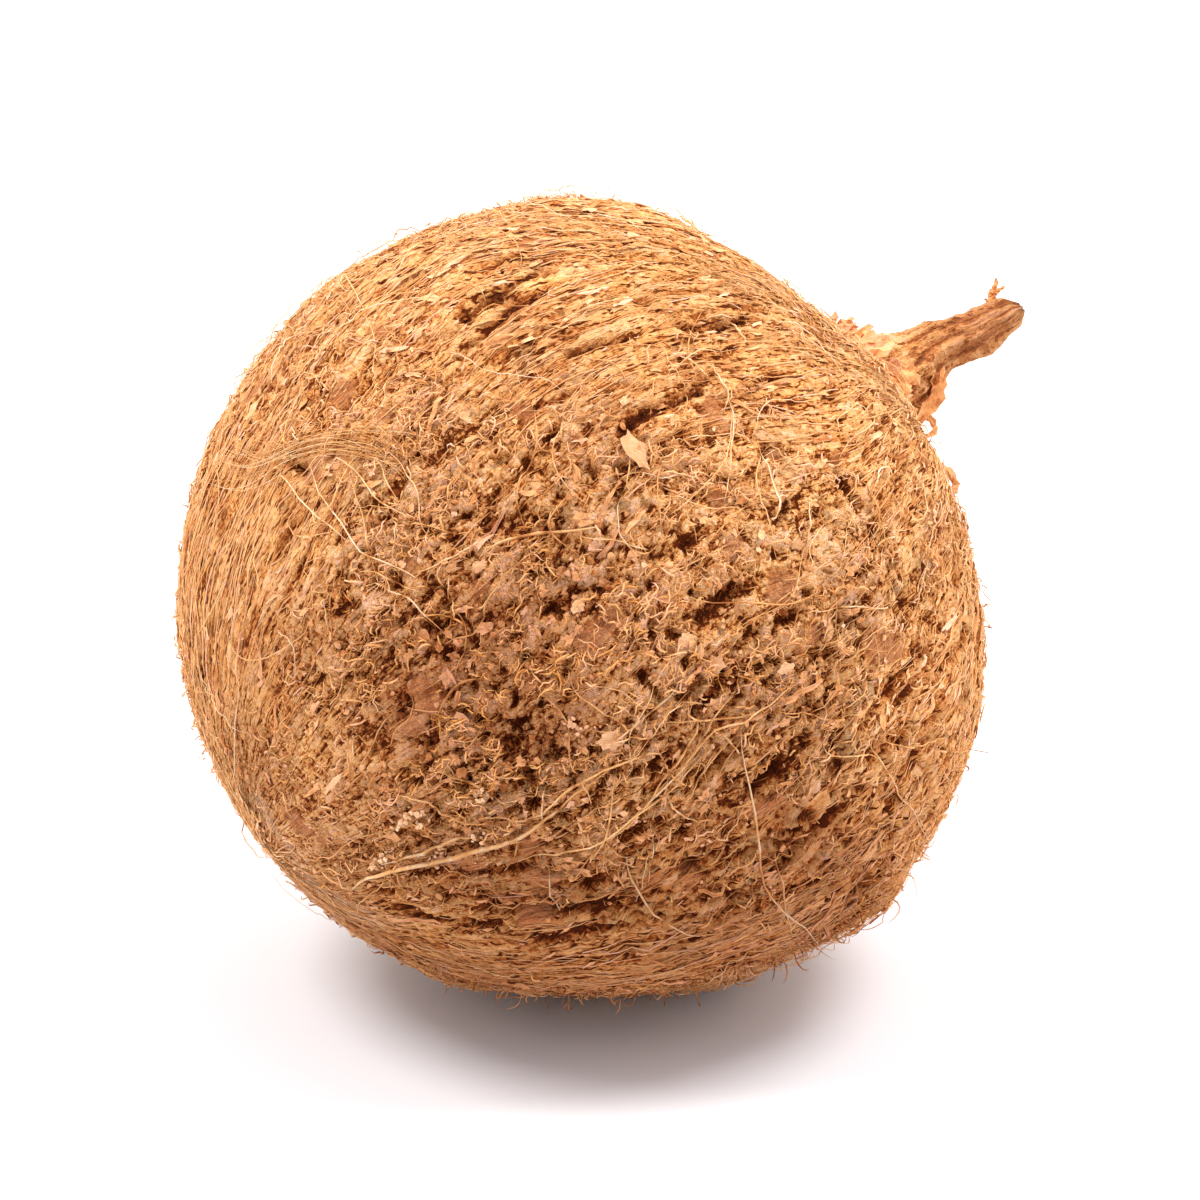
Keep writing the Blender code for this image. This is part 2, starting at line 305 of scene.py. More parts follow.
# The relief dies away near the two ends of the nut's axis and round the flat spot that it rests on.
POLE_CALM = math.radians(26)
REST_BARE_RADIUS = 0.0108
REST_CALM_RADIUS = 0.0240


def coir_surface(here):
    """How far the coat's surface is from the nut's middle there, and how deep it lies in the torn relief, 0 to 1."""
    angle, swept = along_grain(here)
    rubbed = rubbed_at(here)
    calm = np.minimum(1, np.sin(angle) / math.sin(POLE_CALM))
    bundles = np.abs(noise_at(grain_points(angle, swept, *BUNDLES))) - 0.22
    patches = noise_at(here * (EQUATOR_RADIUS / PATCH_SIZE) + np.array((7.0, 3.0, 5.0)))
    layers = 4.8 * noise_at(grain_points(angle, swept, *LAYERS) + 31) + 0.8 * noise_at(here * 24.0 + 5)
    ledges = layers - np.floor(layers)
    strands = noise_at(grain_points(angle, swept, *STRANDS) + 57)
    clumps = crumble_at(here * (EQUATOR_RADIUS / CLUMP_SIZE) + 11)
    splits = between(noise_at(grain_points(angle, swept + 0.015 * clumps, *SPLITS) + 83), 0.30, 0.44)
    pits = between(noise_at(grain_points(angle, swept, *PITS) + 71), 0.20, 0.40)
    fine = (
        LEDGE_HEIGHT * (ledges - 0.5) * (1 - 0.4 * rubbed)
        + STRAND_HEIGHT * strands * (1 - 0.6 * rubbed)
        - SPLIT_DEPTH * splits * (1 - 0.4 * rubbed)
        - PIT_DEPTH * pits * (0.10 + 0.90 * rubbed)
    )
    fine = fine * (1 + deep_at(here)) + CLUMP_HEIGHT * clumps * (0.15 + 0.85 * rubbed)
    fine = fine * calm * (1 - 0.75 * bare_at(here)) * (1 - 0.6 * sleek_at(here)) * (1 - 0.5 * sandy_at(here))
    fine = fine - SLIT_DEPTH * slit_at(here)
    main = calm * (BUNDLE_HEIGHT * bundles + PATCH_HEIGHT * patches)
    smooth = smooth_radius(here)
    place = NUT_MIDDLE + (here @ laid.T) * smooth[..., None]
    beside = np.linalg.norm(place[..., :2], axis=-1)
    rest_calm = np.where(place[..., 2] < NUT_MIDDLE[2], between(beside, REST_BARE_RADIUS, REST_CALM_RADIUS), 1.0)
    low = np.clip(0.32 - (0.65 + 0.35 * rubbed) * fine / DEEPEST - main / BROAD_RELIEF, 0, 1)
    return smooth + (main + fine) * rest_calm, low


def ground(here):
    return coir_surface(here)[0]


def store(mesh, name, values):
    """One number for each point of the mesh, for its material to read."""
    layer = mesh.attributes.new(name, "FLOAT", "POINT")
    layer.data.foreach_set("value", np.ascontiguousarray(values, np.float32).ravel())


def store_vectors(mesh, name, vectors):
    layer = mesh.attributes.new(name, "FLOAT_VECTOR", "POINT")
    layer.data.foreach_set("vector", vectors.astype(np.float32).ravel())


def mesh_of(bm, name):
    """The shape as a mesh. The shape is used up."""
    mesh = bpy.data.meshes.new(name)
    bm.to_mesh(mesh)
    bm.free()
    return mesh


def points_of(mesh):
    points = np.empty(len(mesh.vertices) * 3, np.float32)
    mesh.vertices.foreach_get("co", points)
    return points.reshape(-1, 3).astype(float)


def move_points(mesh, points, lowest):
    """Puts the mesh's points there, none below the lowest height."""
    points[..., 2] = np.maximum(points[..., 2], lowest)
    mesh.vertices.foreach_set("co", np.ascontiguousarray(points, np.float32).ravel())


COAT_CUTS = 125
coat_bm = bmesh.new()
bmesh.ops.create_cube(coat_bm, size=2.0)
bmesh.ops.subdivide_edges(coat_bm, edges=coat_bm.edges, cuts=COAT_CUTS, use_grid_fill=True)
coat_mesh = mesh_of(coat_bm, "coir_coat")
# The tangent spreads the cube's even grid evenly over the ball.
here = unit(np.tan(points_of(coat_mesh) * math.pi / 4))
radius, low = coir_surface(here)
move_points(coat_mesh, NUT_MIDDLE + (here @ laid.T) * radius[:, None], 0.0)

GREY_SPOTS = (
    (850, 745, 24), (835, 770, 16), (870, 700, 14), (618, 500, 16), (560, 520, 14), (520, 350, 14), (905, 590, 14),
)
PALE_SPOTS = (
    (258, 806, 9), (268, 826, 10), (284, 848, 11), (296, 872, 12), (314, 892, 12), (340, 908, 12), (368, 922, 12),
)
grey = in_spots(here, [(*spot, 1.0) for spot in GREY_SPOTS]) + 0.6 * between(-noise_at(here * 7.0 + 40), 0.42, 0.56)
# Painted shade: the material darkens the coat where it lies deep in the relief.
store(coat_mesh, "low", low)
store(coat_mesh, "rubbed", rubbed_at(here))
store(coat_mesh, "bare", bare_at(here))
# The slits are added to the grey as painted shade in their bottoms.
store(coat_mesh, "grey", np.clip(grey + 0.8 * slit_at(here), 0, 1))
store(coat_mesh, "pale", np.clip(in_spots(here, [(*spot, 1.0) for spot in PALE_SPOTS]), 0, 1))
store_vectors(coat_mesh, "grain", grain_points(*along_grain(here), math.tau, 1.0))
coat_mesh.shade_smooth()


def new_material(name, roughness):
    made = bpy.data.materials.new(name)
    made.use_nodes = True
    shader = made.node_tree.nodes["Principled BSDF"]
    shader.inputs["Roughness"].default_value = roughness
    shader.inputs["Specular IOR Level"].default_value = 0.08
    return made, made.node_tree, shader


def add_node(tree, kind, inputs, **settings):
    """A new node with those settings. Each of its inputs is a socket to link, or a plain value."""
    made = tree.nodes.new("ShaderNode" + kind)
    for name, value in settings.items():
        setattr(made, name, value)
    for name, value in inputs.items():
        if isinstance(value, bpy.types.NodeSocket):
            tree.links.new(value, made.inputs[name])
        else:
            made.inputs[name].default_value = value
    return made


def attributes(tree, *names):
    return [add_node(tree, "Attribute", {}, attribute_name=name).outputs["Fac"] for name in names]


def maths_node(tree, operation, *values, clamp=False):
    return add_node(tree, "Math", dict(enumerate(values)), operation=operation, use_clamp=clamp).outputs[0]


def times_plus(tree, value, factor, added=0.0, clamp=False):
    return maths_node(tree, "MULTIPLY_ADD", value, factor, added, clamp=clamp)


def stretched(tree, vector, scales):
    """The vector with each of its axes scaled."""
    return add_node(tree, "Mapping", {"Vector": vector, "Scale": scales}).outputs["Vector"]


def in_millimetres(tree):
    """The piece's own coordinates in millimetres."""
    return stretched(tree, add_node(tree, "TexCoord", {}).outputs["Object"], (1000, 1000, 1000))


def noise_node(tree, vector, scale, detail, warp=0.0):
    inputs = {"Vector": vector, "Scale": scale, "Detail": detail, "Roughness": 0.62, "Distortion": warp}
    return add_node(tree, "TexNoise", inputs).outputs["Fac"]


def ridge_node(tree, factor, sharpness):
    """Thin winding ridges, where the noise crosses its middle."""
    off = maths_node(tree, "ABSOLUTE", maths_node(tree, "SUBTRACT", factor, 0.5))
    return times_plus(tree, off, -sharpness, 1.0, clamp=True)


def warped(tree, vector, scale, amount):
    """The vector, bent this way and that by noise."""
    bent = add_node(tree, "TexNoise", {"Vector": vector, "Scale": scale, "Detail": 0.0})
    inputs = {0: bent.outputs["Color"], 1: (amount, amount, amount), 2: vector}
    return add_node(tree, "VectorMath", inputs, operation="MULTIPLY_ADD").outputs["Vector"]


def cells(tree, vector):
    """Uneven rounded cells. Gives each cell's own random value, and the height, which falls off towards its edges."""
    made = add_node(tree, "TexVoronoi", {"Vector": vector, "Scale": 1.0})
    own = add_node(tree, "SeparateColor", {"Color": made.outputs["Color"]})
    return own.outputs["Red"], times_plus(tree, made.outputs["Distance"], -1.3, 1.15, clamp=True)


def ramp_node(tree, factor, stops):
    """A colour ramp through (place, colour) stops."""
    made = add_node(tree, "ValToRGB", {"Fac": factor})
    ramp = made.color_ramp
    while len(ramp.elements) < len(stops):
        ramp.elements.new(0.5)
    for element, (place, colour) in zip(ramp.elements, stops):
        element.position = place
        element.color = (*colour, 1.0)
    return made.outputs["Color"]


def mix_node(tree, blend, factor, first, second):
    """Mixes two colours. Each is a socket or a plain colour."""
    first, second = ((*value, 1.0) if isinstance(value, tuple) else value for value in (first, second))
    inputs = {"Factor": factor, 6: first, 7: second}
    return add_node(tree, "Mix", inputs, data_type="RGBA", blend_type=blend).outputs[2]


def finish_material(tree, shader, colour, height, strength, distance):
    """Gives the shader its colour and its bump."""
    bump = add_node(tree, "Bump", {"Height": height, "Strength": strength, "Distance": distance})
    tree.links.new(colour, shader.inputs["Base Color"])
    tree.links.new(bump.outputs["Normal"], shader.inputs["Normal"])


# From the dark of the gaps, which is painted shade, to the pale raised tips, which carry painted highlight.
COAT_STOPS = (
    (0.00, (0.120, 0.022, 0.003)),
    (0.15, (0.400, 0.108, 0.019)),
    (0.30, (0.740, 0.330, 0.103)),
    (0.50, (0.900, 0.520, 0.215)),
    (0.80, (0.960, 0.575, 0.375)),
)
WEATHERED_STOPS = ((0.36, (0.84, 0.76, 0.74)), (0.50, (0.98, 0.95, 0.94)), (0.62, (1.06, 1.04, 1.0)))
BROWNED = (0.64, 0.53, 0.49)
HUSK_DARK = (0.270, 0.070, 0.020)
HUSK_LIGHT = (0.660, 0.265, 0.110)
SLEEK_PALE = (0.760, 0.480, 0.310)
GREY_AND_SLIT_SHADE = (0.42, 0.44, 0.52)


def coat_material():
    """Streaks, plates, cracks and flecks along the grain, and crumbs and curls where the coat is rubbed."""
    made, tree, shader = new_material("coir_mat", 0.85)
    millimetres = in_millimetres(tree)
    grain = add_node(tree, "Attribute", {}, attribute_name="grain").outputs["Vector"]
    low, rubbed, bare, grey, brown, pale = attributes(tree, "low", "rubbed", "bare", "grey", "brown", "pale")
    streaks = noise_node(tree, stretched(tree, grain, (125, 125, 9)), 1.0, 3.0, 0.4)
    wide_streaks = noise_node(tree, stretched(tree, grain, (34, 34, 4)), 1.0, 1.0, 0.6)
    plate, plate_rise = cells(tree, warped(tree, stretched(tree, grain, (30, 30, 10)), 1.3, 1.1))
    crumb, crumb_rise = cells(tree, warped(tree, stretched(tree, millimetres, (1.5, 1.5, 1.5)), 1.9, 1.0))
    curls = ridge_node(tree, noise_node(tree, millimetres, 0.75, 1.5, 1.0), 7.0)
    specks = noise_node(tree, millimetres, 1.5, 4.0)
    flecks = noise_node(tree, stretched(tree, grain, (105, 105, 30)), 1.0, 1.0)
    flecks = times_plus(tree, flecks, 14.0, -8.2, clamp=True)
    patches = noise_node(tree, millimetres, 0.10, 3.0)
    smooth = maths_node(tree, "SUBTRACT", 1.0, rubbed)
    torn = times_plus(tree, rubbed, 0.75, 0.25)
    cracks = ridge_node(tree, noise_node(tree, stretched(tree, grain, (27, 27, 2.6)), 1.0, 2.0, 0.5), 34.0)
    cracked = times_plus(tree, patches, 7.0, -3.2, clamp=True)
    cracks = times_plus(tree, cracks, times_plus(tree, cracked, smooth))
    height = times_plus(tree, streaks, times_plus(tree, smooth, 0.55, 0.25))
    height = times_plus(tree, times_plus(tree, curls, torn), 0.30, height)
    height = times_plus(tree, times_plus(tree, crumb, 0.4, crumb_rise), times_plus(tree, torn, 0.55), height)
    height = times_plus(tree, times_plus(tree, plate, 0.7, plate_rise), 0.25, height)
    height = times_plus(tree, specks, 0.75, height)
    height = times_plus(tree, flecks, -0.40, height)
    # Painted shade and highlight: the colour is lighter where the relief stands high, and darker where it lies low or
    # deep in the coat and along the fine cracks.
    lit = times_plus(tree, height, 0.75, -0.49)
    for part, share in ((cracks, -0.42), (low, -0.70), (wide_streaks, 0.30), (plate, 0.16)):
        lit = times_plus(tree, part, share, lit)
    lit = times_plus(tree, times_plus(tree, crumb, 0.24, -0.12), torn, lit)
    weathered = ramp_node(tree, patches, WEATHERED_STOPS)
    colour = mix_node(tree, "MULTIPLY", 1.0, ramp_node(tree, lit, COAT_STOPS), weathered)
    # Browner where the brown attribute is high: the coir's own weathered colour, and painted shade low on the nut.
    colour = mix_node(tree, "MULTIPLY", brown, colour, BROWNED)
    husk = mix_node(tree, "MIX", times_plus(tree, streaks, 2.2, -0.7, clamp=True), HUSK_DARK, HUSK_LIGHT)
    colour = mix_node(tree, "MIX", times_plus(tree, bare, 0.8), colour, husk)
    colour = mix_node(tree, "MIX", times_plus(tree, pale, 0.7), colour, SLEEK_PALE)
    # Greyed in grey patches of the coir and, as painted shade, along the bottoms of the slits.
    colour = mix_node(tree, "MULTIPLY", times_plus(tree, grey, 0.7), colour, GREY_AND_SLIT_SHADE)
    finish_material(tree, shader, colour, height, strength=1.0, distance=0.00060)
    return made


def piece_from(mesh, material):
    """The finished mesh as a piece that rides with the nut and is as brown as it is there."""
    # The brown it stores is partly the coir's own colour and partly painted shade low on the nut.
    store(mesh, "brown", brown_and_shade_at(unit((points_of(mesh) - NUT_MIDDLE) @ laid)))
    made = bpy.data.objects.new(mesh.name, mesh)
    bpy.context.scene.collection.objects.link(made)
    mesh.materials.clear()
    mesh.materials.append(material)
    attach(made, "root")
    return made


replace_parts(piece_from(coat_mesh, coat_material()), "coconut")


# The combed fibres.
# Loose stiff threads of the same coir, 0.2 to 0.5 mm thick and tapered at both ends. Most lie combed along the bundles,
# rooted in the coat.


def many_of(bm, name, count):
    """A mesh that holds the shape that many times, and where the shape's own points are. The shape is used up."""
    single = mesh_of(bm, name)
    holder = bpy.data.objects.new(name, single)
    bpy.context.scene.collection.objects.link(holder)
    array = holder.modifiers.new("many", "ARRAY")
    array.use_relative_offset = False
    array.count = count
    bpy.context.view_layer.update()
    mesh = bpy.data.meshes.new_from_object(holder.evaluated_get(bpy.context.evaluated_depsgraph_get()))
    own = points_of(single)
    bpy.data.objects.remove(holder)
    bpy.data.meshes.remove(single)
    mesh.name = name
    return mesh, own


ABOVE_FLOOR = 0.00005


def shallow_at(here):
    """1 on the coat's higher parts and less in its gaps and slits, where little that is loose lies."""
    return (1 - 0.70 * between(coir_surface(here)[1], 0.45, 0.80)) * (1 - 0.95 * slit_at(here, 2.0))


def grain_heading(here):
    """How far the grain turns there from the way straight down the nut from its stem end."""
    angle, turn = angle_and_turn(here)
    step = 0.003
    own = along_grain(here)[1]
    down = np.sin(along_grain(direction(angle + step, turn))[1] - own)
    sideways = np.sin(along_grain(direction(angle, turn + step / np.maximum(np.sin(angle), 0.12)))[1] - own)
    return np.arctan2(-down, sideways)


def shade_at(points):
    """How much darker what is loose gets at those points, by how deep in the coat's relief they are."""
    return 0.60 * between(coir_surface(unit((points - NUT_MIDDLE) @ laid))[1], 0.40, 0.90)


def run_over_coat(here, heading, bend, waviness, length, root, middle, tip, steps, draw, longer=1.0):
    """Points along threads that run over the coat, lifted off it at their root, middle and tip.

    heading is how much their way strays from the grain and bend how much it turns. A pair is the least and the most.
    """
    count = len(here)
    heading = draw.normal(0, heading, count) if np.isscalar(heading) else heading
    bend = draw.normal(0, bend, count)
    waviness, length, root, middle, tip = (
        np.full(count, ends) if np.isscalar(ends) else draw.uniform(*ends, count)
        for ends in (waviness, length, root, middle, tip)
    )
    angle, turn = angle_and_turn(here)
    t = np.linspace(0, 1, steps + 1)[None, :]
    phase = draw.uniform(0, math.tau, (count, 1))
    waves = draw.uniform(0.8, 2.2, (count, 1))
    way = (grain_heading(here) + heading)[:, None] + bend[:, None] * (t - 0.5)
    way = way + waviness[:, None] * np.sin(waves * math.tau * t + phase)
    step = (length * longer)[:, None] / steps
    along = np.cumsum(np.cos(way) * step, axis=1)
    across = np.cumsum(np.sin(way) * step, axis=1)
    along -= along[:, steps // 2, None]
    across -= across[:, steps // 2, None]
    at_angle = np.clip(angle[:, None] + along / EQUATOR_RADIUS, 0.02, math.pi - 0.02)
    at_turn = turn[:, None] + across / (EQUATOR_RADIUS * np.maximum(np.sin(at_angle), 0.12))
    lift = root[:, None] * (1 - t) + tip[:, None] * t + middle[:, None] * 4 * t * (1 - t)
    passed = direction(at_angle, at_turn)
    return NUT_MIDDLE + (passed @ laid.T) * (ground(passed) + lift)[..., None]


def threads(name, paths, thickness, flatness, tone):
    """A mesh of closed threads along the paths, thickest in the middle, pointed at both ends, each of its own tone."""
    count, steps = paths.shape[0], paths.shape[1] - 1
    bm = bmesh.new()
    bmesh.ops.create_uvsphere(bm, u_segments=3, v_segments=steps, radius=1.0)
    bmesh.ops.triangulate(bm, faces=bm.faces)
    mesh, own = many_of(bm, name, count)
    ring = np.rint(np.arccos(np.clip(-own[:, 2], -1, 1)) / math.pi * steps).astype(int)
    round_about = np.arctan2(own[:, 1], own[:, 0])
    along = unit(np.gradient(paths, axis=1))
    outward = unit(paths - NUT_MIDDLE + np.array((0.0011, 0.0007, 0.0005)))
    side = unit(np.cross(along, outward))
    proud = np.cross(side, along)
    slim = np.sin(np.linspace(0, math.pi, steps + 1)) ** 0.55
    half = thickness[:, None] / 2 * slim[ring][None, :]
    points = (
        paths[:, ring]
        + side[:, ring] * (half * np.cos(round_about))[..., None]
        + proud[:, ring] * (half * flatness * np.sin(round_about))[..., None]
    )
    move_points(mesh, points, ABOVE_FLOOR)
    store(mesh, "tone", (tone[:, None] - shade_at(paths))[:, ring])
    mesh.shade_smooth()
    return mesh


def tones(middle, spread, count, draw):
    return np.clip(draw.normal(middle, spread, count), 0, 1)


def scattered(count, chance, draw):
    """Places all over the nut, more of them where the chance is higher, clear of the spot that it rests on."""
    found = np.zeros((0, 3))
    while len(found) < count:
        z = draw.uniform(-1, 1, count)
        turn = draw.uniform(-math.pi, math.pi, count)
        here = direction(np.arccos(z), turn)
        high = NUT_MIDDLE[2] + (here @ laid.T)[:, 2] * EQUATOR_RADIUS
        found = np.concatenate((found, here[(draw.random(count) < chance(here)) & (high > 0.003)]))
    return found[:count]


def thread_material(name, stops, browned=(0.64, 0.53, 0.50)):
    """Dry coir in the ramp's colours, multiplied by the browned colour where the nut is brown."""
    made, tree, shader = new_material(name, 0.8)
    millimetres = in_millimetres(tree)
    tone, brown = attributes(tree, "tone", "brown")
    shade = times_plus(tree, noise_node(tree, millimetres, 0.9, 5.0), 1.1, maths_node(tree, "SUBTRACT", tone, 0.55))
    # Browner where the brown attribute is high: the coir's own weathered colour, and painted shade low on the nut.
    colour = mix_node(tree, "MULTIPLY", brown, ramp_node(tree, shade, stops), browned)
    finish_material(tree, shader, colour, noise_node(tree, millimetres, 2.5, 3.0), strength=0.8, distance=0.00025)
    return made


THREAD_STOPS = (
    (0.02, (0.300, 0.078, 0.013)),
    (0.32, (0.720, 0.315, 0.094)),
    (0.66, (0.900, 0.505, 0.225)),
    (0.98, (0.950, 0.560, 0.370)),
)
coir_thread = thread_material("coir_thread", THREAD_STOPS)

draw = np.random.RandomState(21)
COMBED_FIBRES = 4600
here = scattered(
    COMBED_FIBRES,
    lambda p: (1.0 - 0.80 * rubbed_at(p)) * (1 - 0.8 * bare_at(p)) * (1 - 0.9 * sandy_at(p)) * shallow_at(p),
    draw,
)
combed_paths = run_over_coat(
    here, heading=0.10, bend=0.35, waviness=(0, 0.2), length=(0.005, 0.019), root=-0.0001, middle=(0, 0.00030),
    tip=(-0.00010, 0.00025), steps=8, draw=draw, longer=1 + 0.5 * sleek_at(here),
)
piece_from(
    threads(
        "combed_fibres",
        combed_paths,
        thickness=draw.uniform(0.00012, 0.00034, COMBED_FIBRES), flatness=0.7,
        tone=tones(0.59, 0.18, COMBED_FIBRES, draw),
    ),
    coir_thread,
)


# The matted curls.
# Where the coat is rubbed its fibres are broken short, curled and matted together in tufts. Each is rooted in the coat.


def tufted(here):
    """Where the curls stand in tufts, which lie in rows along the grain."""
    rows = noise_at(grain_points(*along_grain(here), 85, math.radians(9)) + 13) + 0.5 * noise_at(here * 40.0)
    return between(rows, -0.05, 0.35)


CURLS = 6200
draw = np.random.RandomState(31)
here = scattered(
    CURLS,
    lambda p: (0.05 + 0.95 * rubbed_at(p)) * (0.06 + 0.94 * tufted(p)) * (1 - 0.85 * bare_at(p))
    * (1 - 0.9 * sleek_at(p)) * (1 - 0.7 * sandy_at(p)) * shallow_at(p),
    draw,
)
curl_paths = run_over_coat(
    here, heading=0.9, bend=2.4, waviness=(0.1, 0.8), length=(0.0012, 0.0046), root=(-0.0002, 0.0004),
    middle=(0.0001, 0.0006), tip=(-0.0002, 0.0009), steps=5, draw=draw,
)
piece_from(
    threads(
        "matted_curls",
        curl_paths,
        thickness=draw.uniform(0.35, 1.0, CURLS) ** 1.5 * 0.00038, flatness=0.8,
        tone=tones(0.65, 0.18, CURLS, draw),
    ),
    thread_material("curled_thread", THREAD_STOPS, browned=(0.88, 0.78, 0.62)),
)


# The chips and crumbs of pith.
# Dry pith that held the fibres together, broken to thin ragged scales one to three millimetres across and, where the
# coat is rubbed, to crumbs. They lie in the mat of fibres, the scales mostly along the grain with an edge lifted.


def bits(name, bm, here, length, width, thickness, least, curl, spread, tone, draw, above=0.0):
    """A mesh of the shape, ragged and laid on the coat. least is its shortest reach, spread its turn off the grain."""
    count = len(here)
    mesh, own = many_of(bm, name, count)
    angle, turn = angle_and_turn(here)
    outward = here @ laid.T
    spin = grain_heading(here) + draw.normal(0, 1, count) * spread
    north = unit(direction(angle + 0.01, turn) @ laid.T - outward)
    east = np.cross(outward, north)
    ahead = north * np.cos(spin)[:, None] + east * np.sin(spin)[:, None]
    tilt = draw.normal(0, 1, (count, 2)) * np.broadcast_to(0.12 + 0.12 * spread, count)[:, None]
    up = unit(outward + ahead * tilt[:, :1] + np.cross(outward, ahead) * tilt[:, 1:])
    side = unit(np.cross(up, ahead))
    ahead = np.cross(side, up)
    rim = np.abs(own[:, 2]) < 0.5
    ragged = draw.uniform(least, 1.30, (count, len(own)))
    curled = np.where(rim, draw.uniform(-curl, 1.6 * curl, (count, len(own))), 0.0)
    middle = NUT_MIDDLE + outward * (ground(here) + above + draw.uniform(-0.0001, 0.00030, count))[:, None]
    points = (
        middle[:, None]
        + ahead[:, None] * (own[:, 0] * ragged * length[:, None])[..., None]
        + side[:, None] * (own[:, 1] * ragged * width[:, None])[..., None]
        + up[:, None] * (own[:, 2] * ragged * thickness[:, None] + curled * width[:, None])[..., None]
    )
    move_points(mesh, points, ABOVE_FLOOR)
    store(mesh, "tone", np.repeat(tone - shade_at(middle), len(own)))
    return mesh


pith = thread_material(
    "pith",
    (
        (0.02, (0.260, 0.066, 0.014)),
        (0.30, (0.640, 0.270, 0.092)),
        (0.62, (0.860, 0.460, 0.210)),
        (0.98, (0.940, 0.550, 0.360)),
    ),
)
PITH_CHIPS = 7800
CHIP_LENGTH = 0.00062
draw = np.random.RandomState(41)
here = scattered(
    PITH_CHIPS,
    lambda p: (1 - 0.35 * rubbed_at(p)) * (1 - 0.85 * bare_at(p)) * (1 - 0.96 * sleek_at(p))
    * (1 - 0.9 * sandy_at(p)) * shallow_at(p),
    draw,
)
rubbed = rubbed_at(here)
chip_length = np.clip(CHIP_LENGTH * np.exp(draw.normal(0, 0.45, PITH_CHIPS)), 0.00025, 0.0019)
chip = bmesh.new()
bmesh.ops.create_uvsphere(chip, u_segments=11, v_segments=2, radius=1.0)
piece_from(
    bits(
        "pith_chips", chip, here, length=chip_length * (1.35 - 0.45 * rubbed),
        width=chip_length * draw.uniform(0.22, 0.60, PITH_CHIPS) * (0.80 + 0.50 * rubbed),
        thickness=draw.uniform(0.00008, 0.00018, PITH_CHIPS), least=0.45, curl=0.35, spread=0.22 + 1.0 * rubbed,
        tone=tones(0.60, 0.16, PITH_CHIPS, draw), draw=draw,
    ),
    pith,
)
PITH_CRUMBS = 6000
CRUMB_LENGTH = 0.00029
here = scattered(
    PITH_CRUMBS,
    lambda p: (0.03 + 0.97 * rubbed_at(p) + sandy_at(p) + 0.5 * deep_at(p)) * (0.35 + 0.65 * tufted(p))
    * (1 - 0.8 * bare_at(p)) * (1 - 0.9 * sleek_at(p)) / 2,
    draw,
)
crumb_length = np.clip(CRUMB_LENGTH * np.exp(draw.normal(0, 0.40, PITH_CRUMBS)), 0.00014, 0.0008)
crumb_length = crumb_length * (1 - 0.35 * sandy_at(here))
crumb = bmesh.new()
bmesh.ops.create_icosphere(crumb, subdivisions=1, radius=1.0)
piece_from(
    bits(
        "pith_crumbs", crumb, here, length=crumb_length,
        width=crumb_length * draw.uniform(0.55, 1.0, PITH_CRUMBS),
        thickness=crumb_length * draw.uniform(0.3, 0.7, PITH_CRUMBS), least=0.55, curl=0.0, spread=1.5,
        tone=tones(0.48, 0.18, PITH_CRUMBS, draw), draw=draw,
    ),
    pith,
)


# The husk spur.
# A torn tongue of the husk's own fibres that stayed on at the stem end: stiff, ribbed along its length, red-brown, with
# a dry grey tip. It grew out of the nut and leans to one side.

LEAN_TURN = math.radians(-29)
SPUR_ROOT = 0.0440
SPUR_TIP = 0.0802
# How high up the nut's axis, how far off it and how wide to each side the spur is there.
SPUR_FORM = np.array(
    (
        (SPUR_ROOT, 0.0008, 0.0082), (0.0560, 0.0020, 0.0067), (0.0600, 0.0026, 0.0053), (0.0630, 0.0029, 0.0044),
        (0.0653, 0.0033, 0.0038), (0.0687, 0.0041, 0.0035), (0.0716, 0.0050, 0.0032), (0.0748, 0.0054, 0.0027),
        (0.0779, 0.0059, 0.0022), (SPUR_TIP, 0.0067, 0.0015),
    )
)
SPUR_THICKNESS = 0.80
SPUR_RIBS = 5
SPUR_TWIST = math.radians(50)
SPUR_SIDES = 96
SPUR_RINGS = 110

axis = np.array((0.0, 0.0, 1.0))
lean = direction(np.array(math.pi / 2), np.array(LEAN_TURN))
across = np.cross(axis, lean)


def spur_middle(t):
    """The spur's middle line in the nut's own frame, from its sunk root at 0 to its tip at 1."""
    high = SPUR_ROOT + (SPUR_TIP - SPUR_ROOT) * t
    return lean * np.interp(high, SPUR_FORM[:, 0], SPUR_FORM[:, 1])[..., None] + axis * high[..., None]


spur_bm = bmesh.new()
bmesh.ops.create_uvsphere(spur_bm, u_segments=SPUR_SIDES, v_segments=SPUR_RINGS, radius=1.0)
spur_mesh = mesh_of(spur_bm, "husk_spur")
own = points_of(spur_mesh)
t = np.arccos(np.clip(-own[:, 2], -1, 1)) / math.pi
turn = np.arctan2(own[:, 1], own[:, 0])
swept = turn + SPUR_TWIST * 0.6 * t
plain = np.interp(SPUR_ROOT + (SPUR_TIP - SPUR_ROOT) * t, SPUR_FORM[:, 0], SPUR_FORM[:, 2])
ribs = 0.07 * np.cos(SPUR_RIBS * turn + SPUR_TWIST * t)


def along_spur(turn, across_scale, along_scale):
    """Where to read noise that is stretched along the spur."""
    return np.stack((across_scale * np.cos(turn), across_scale * np.sin(turn), along_scale * t), axis=-1)


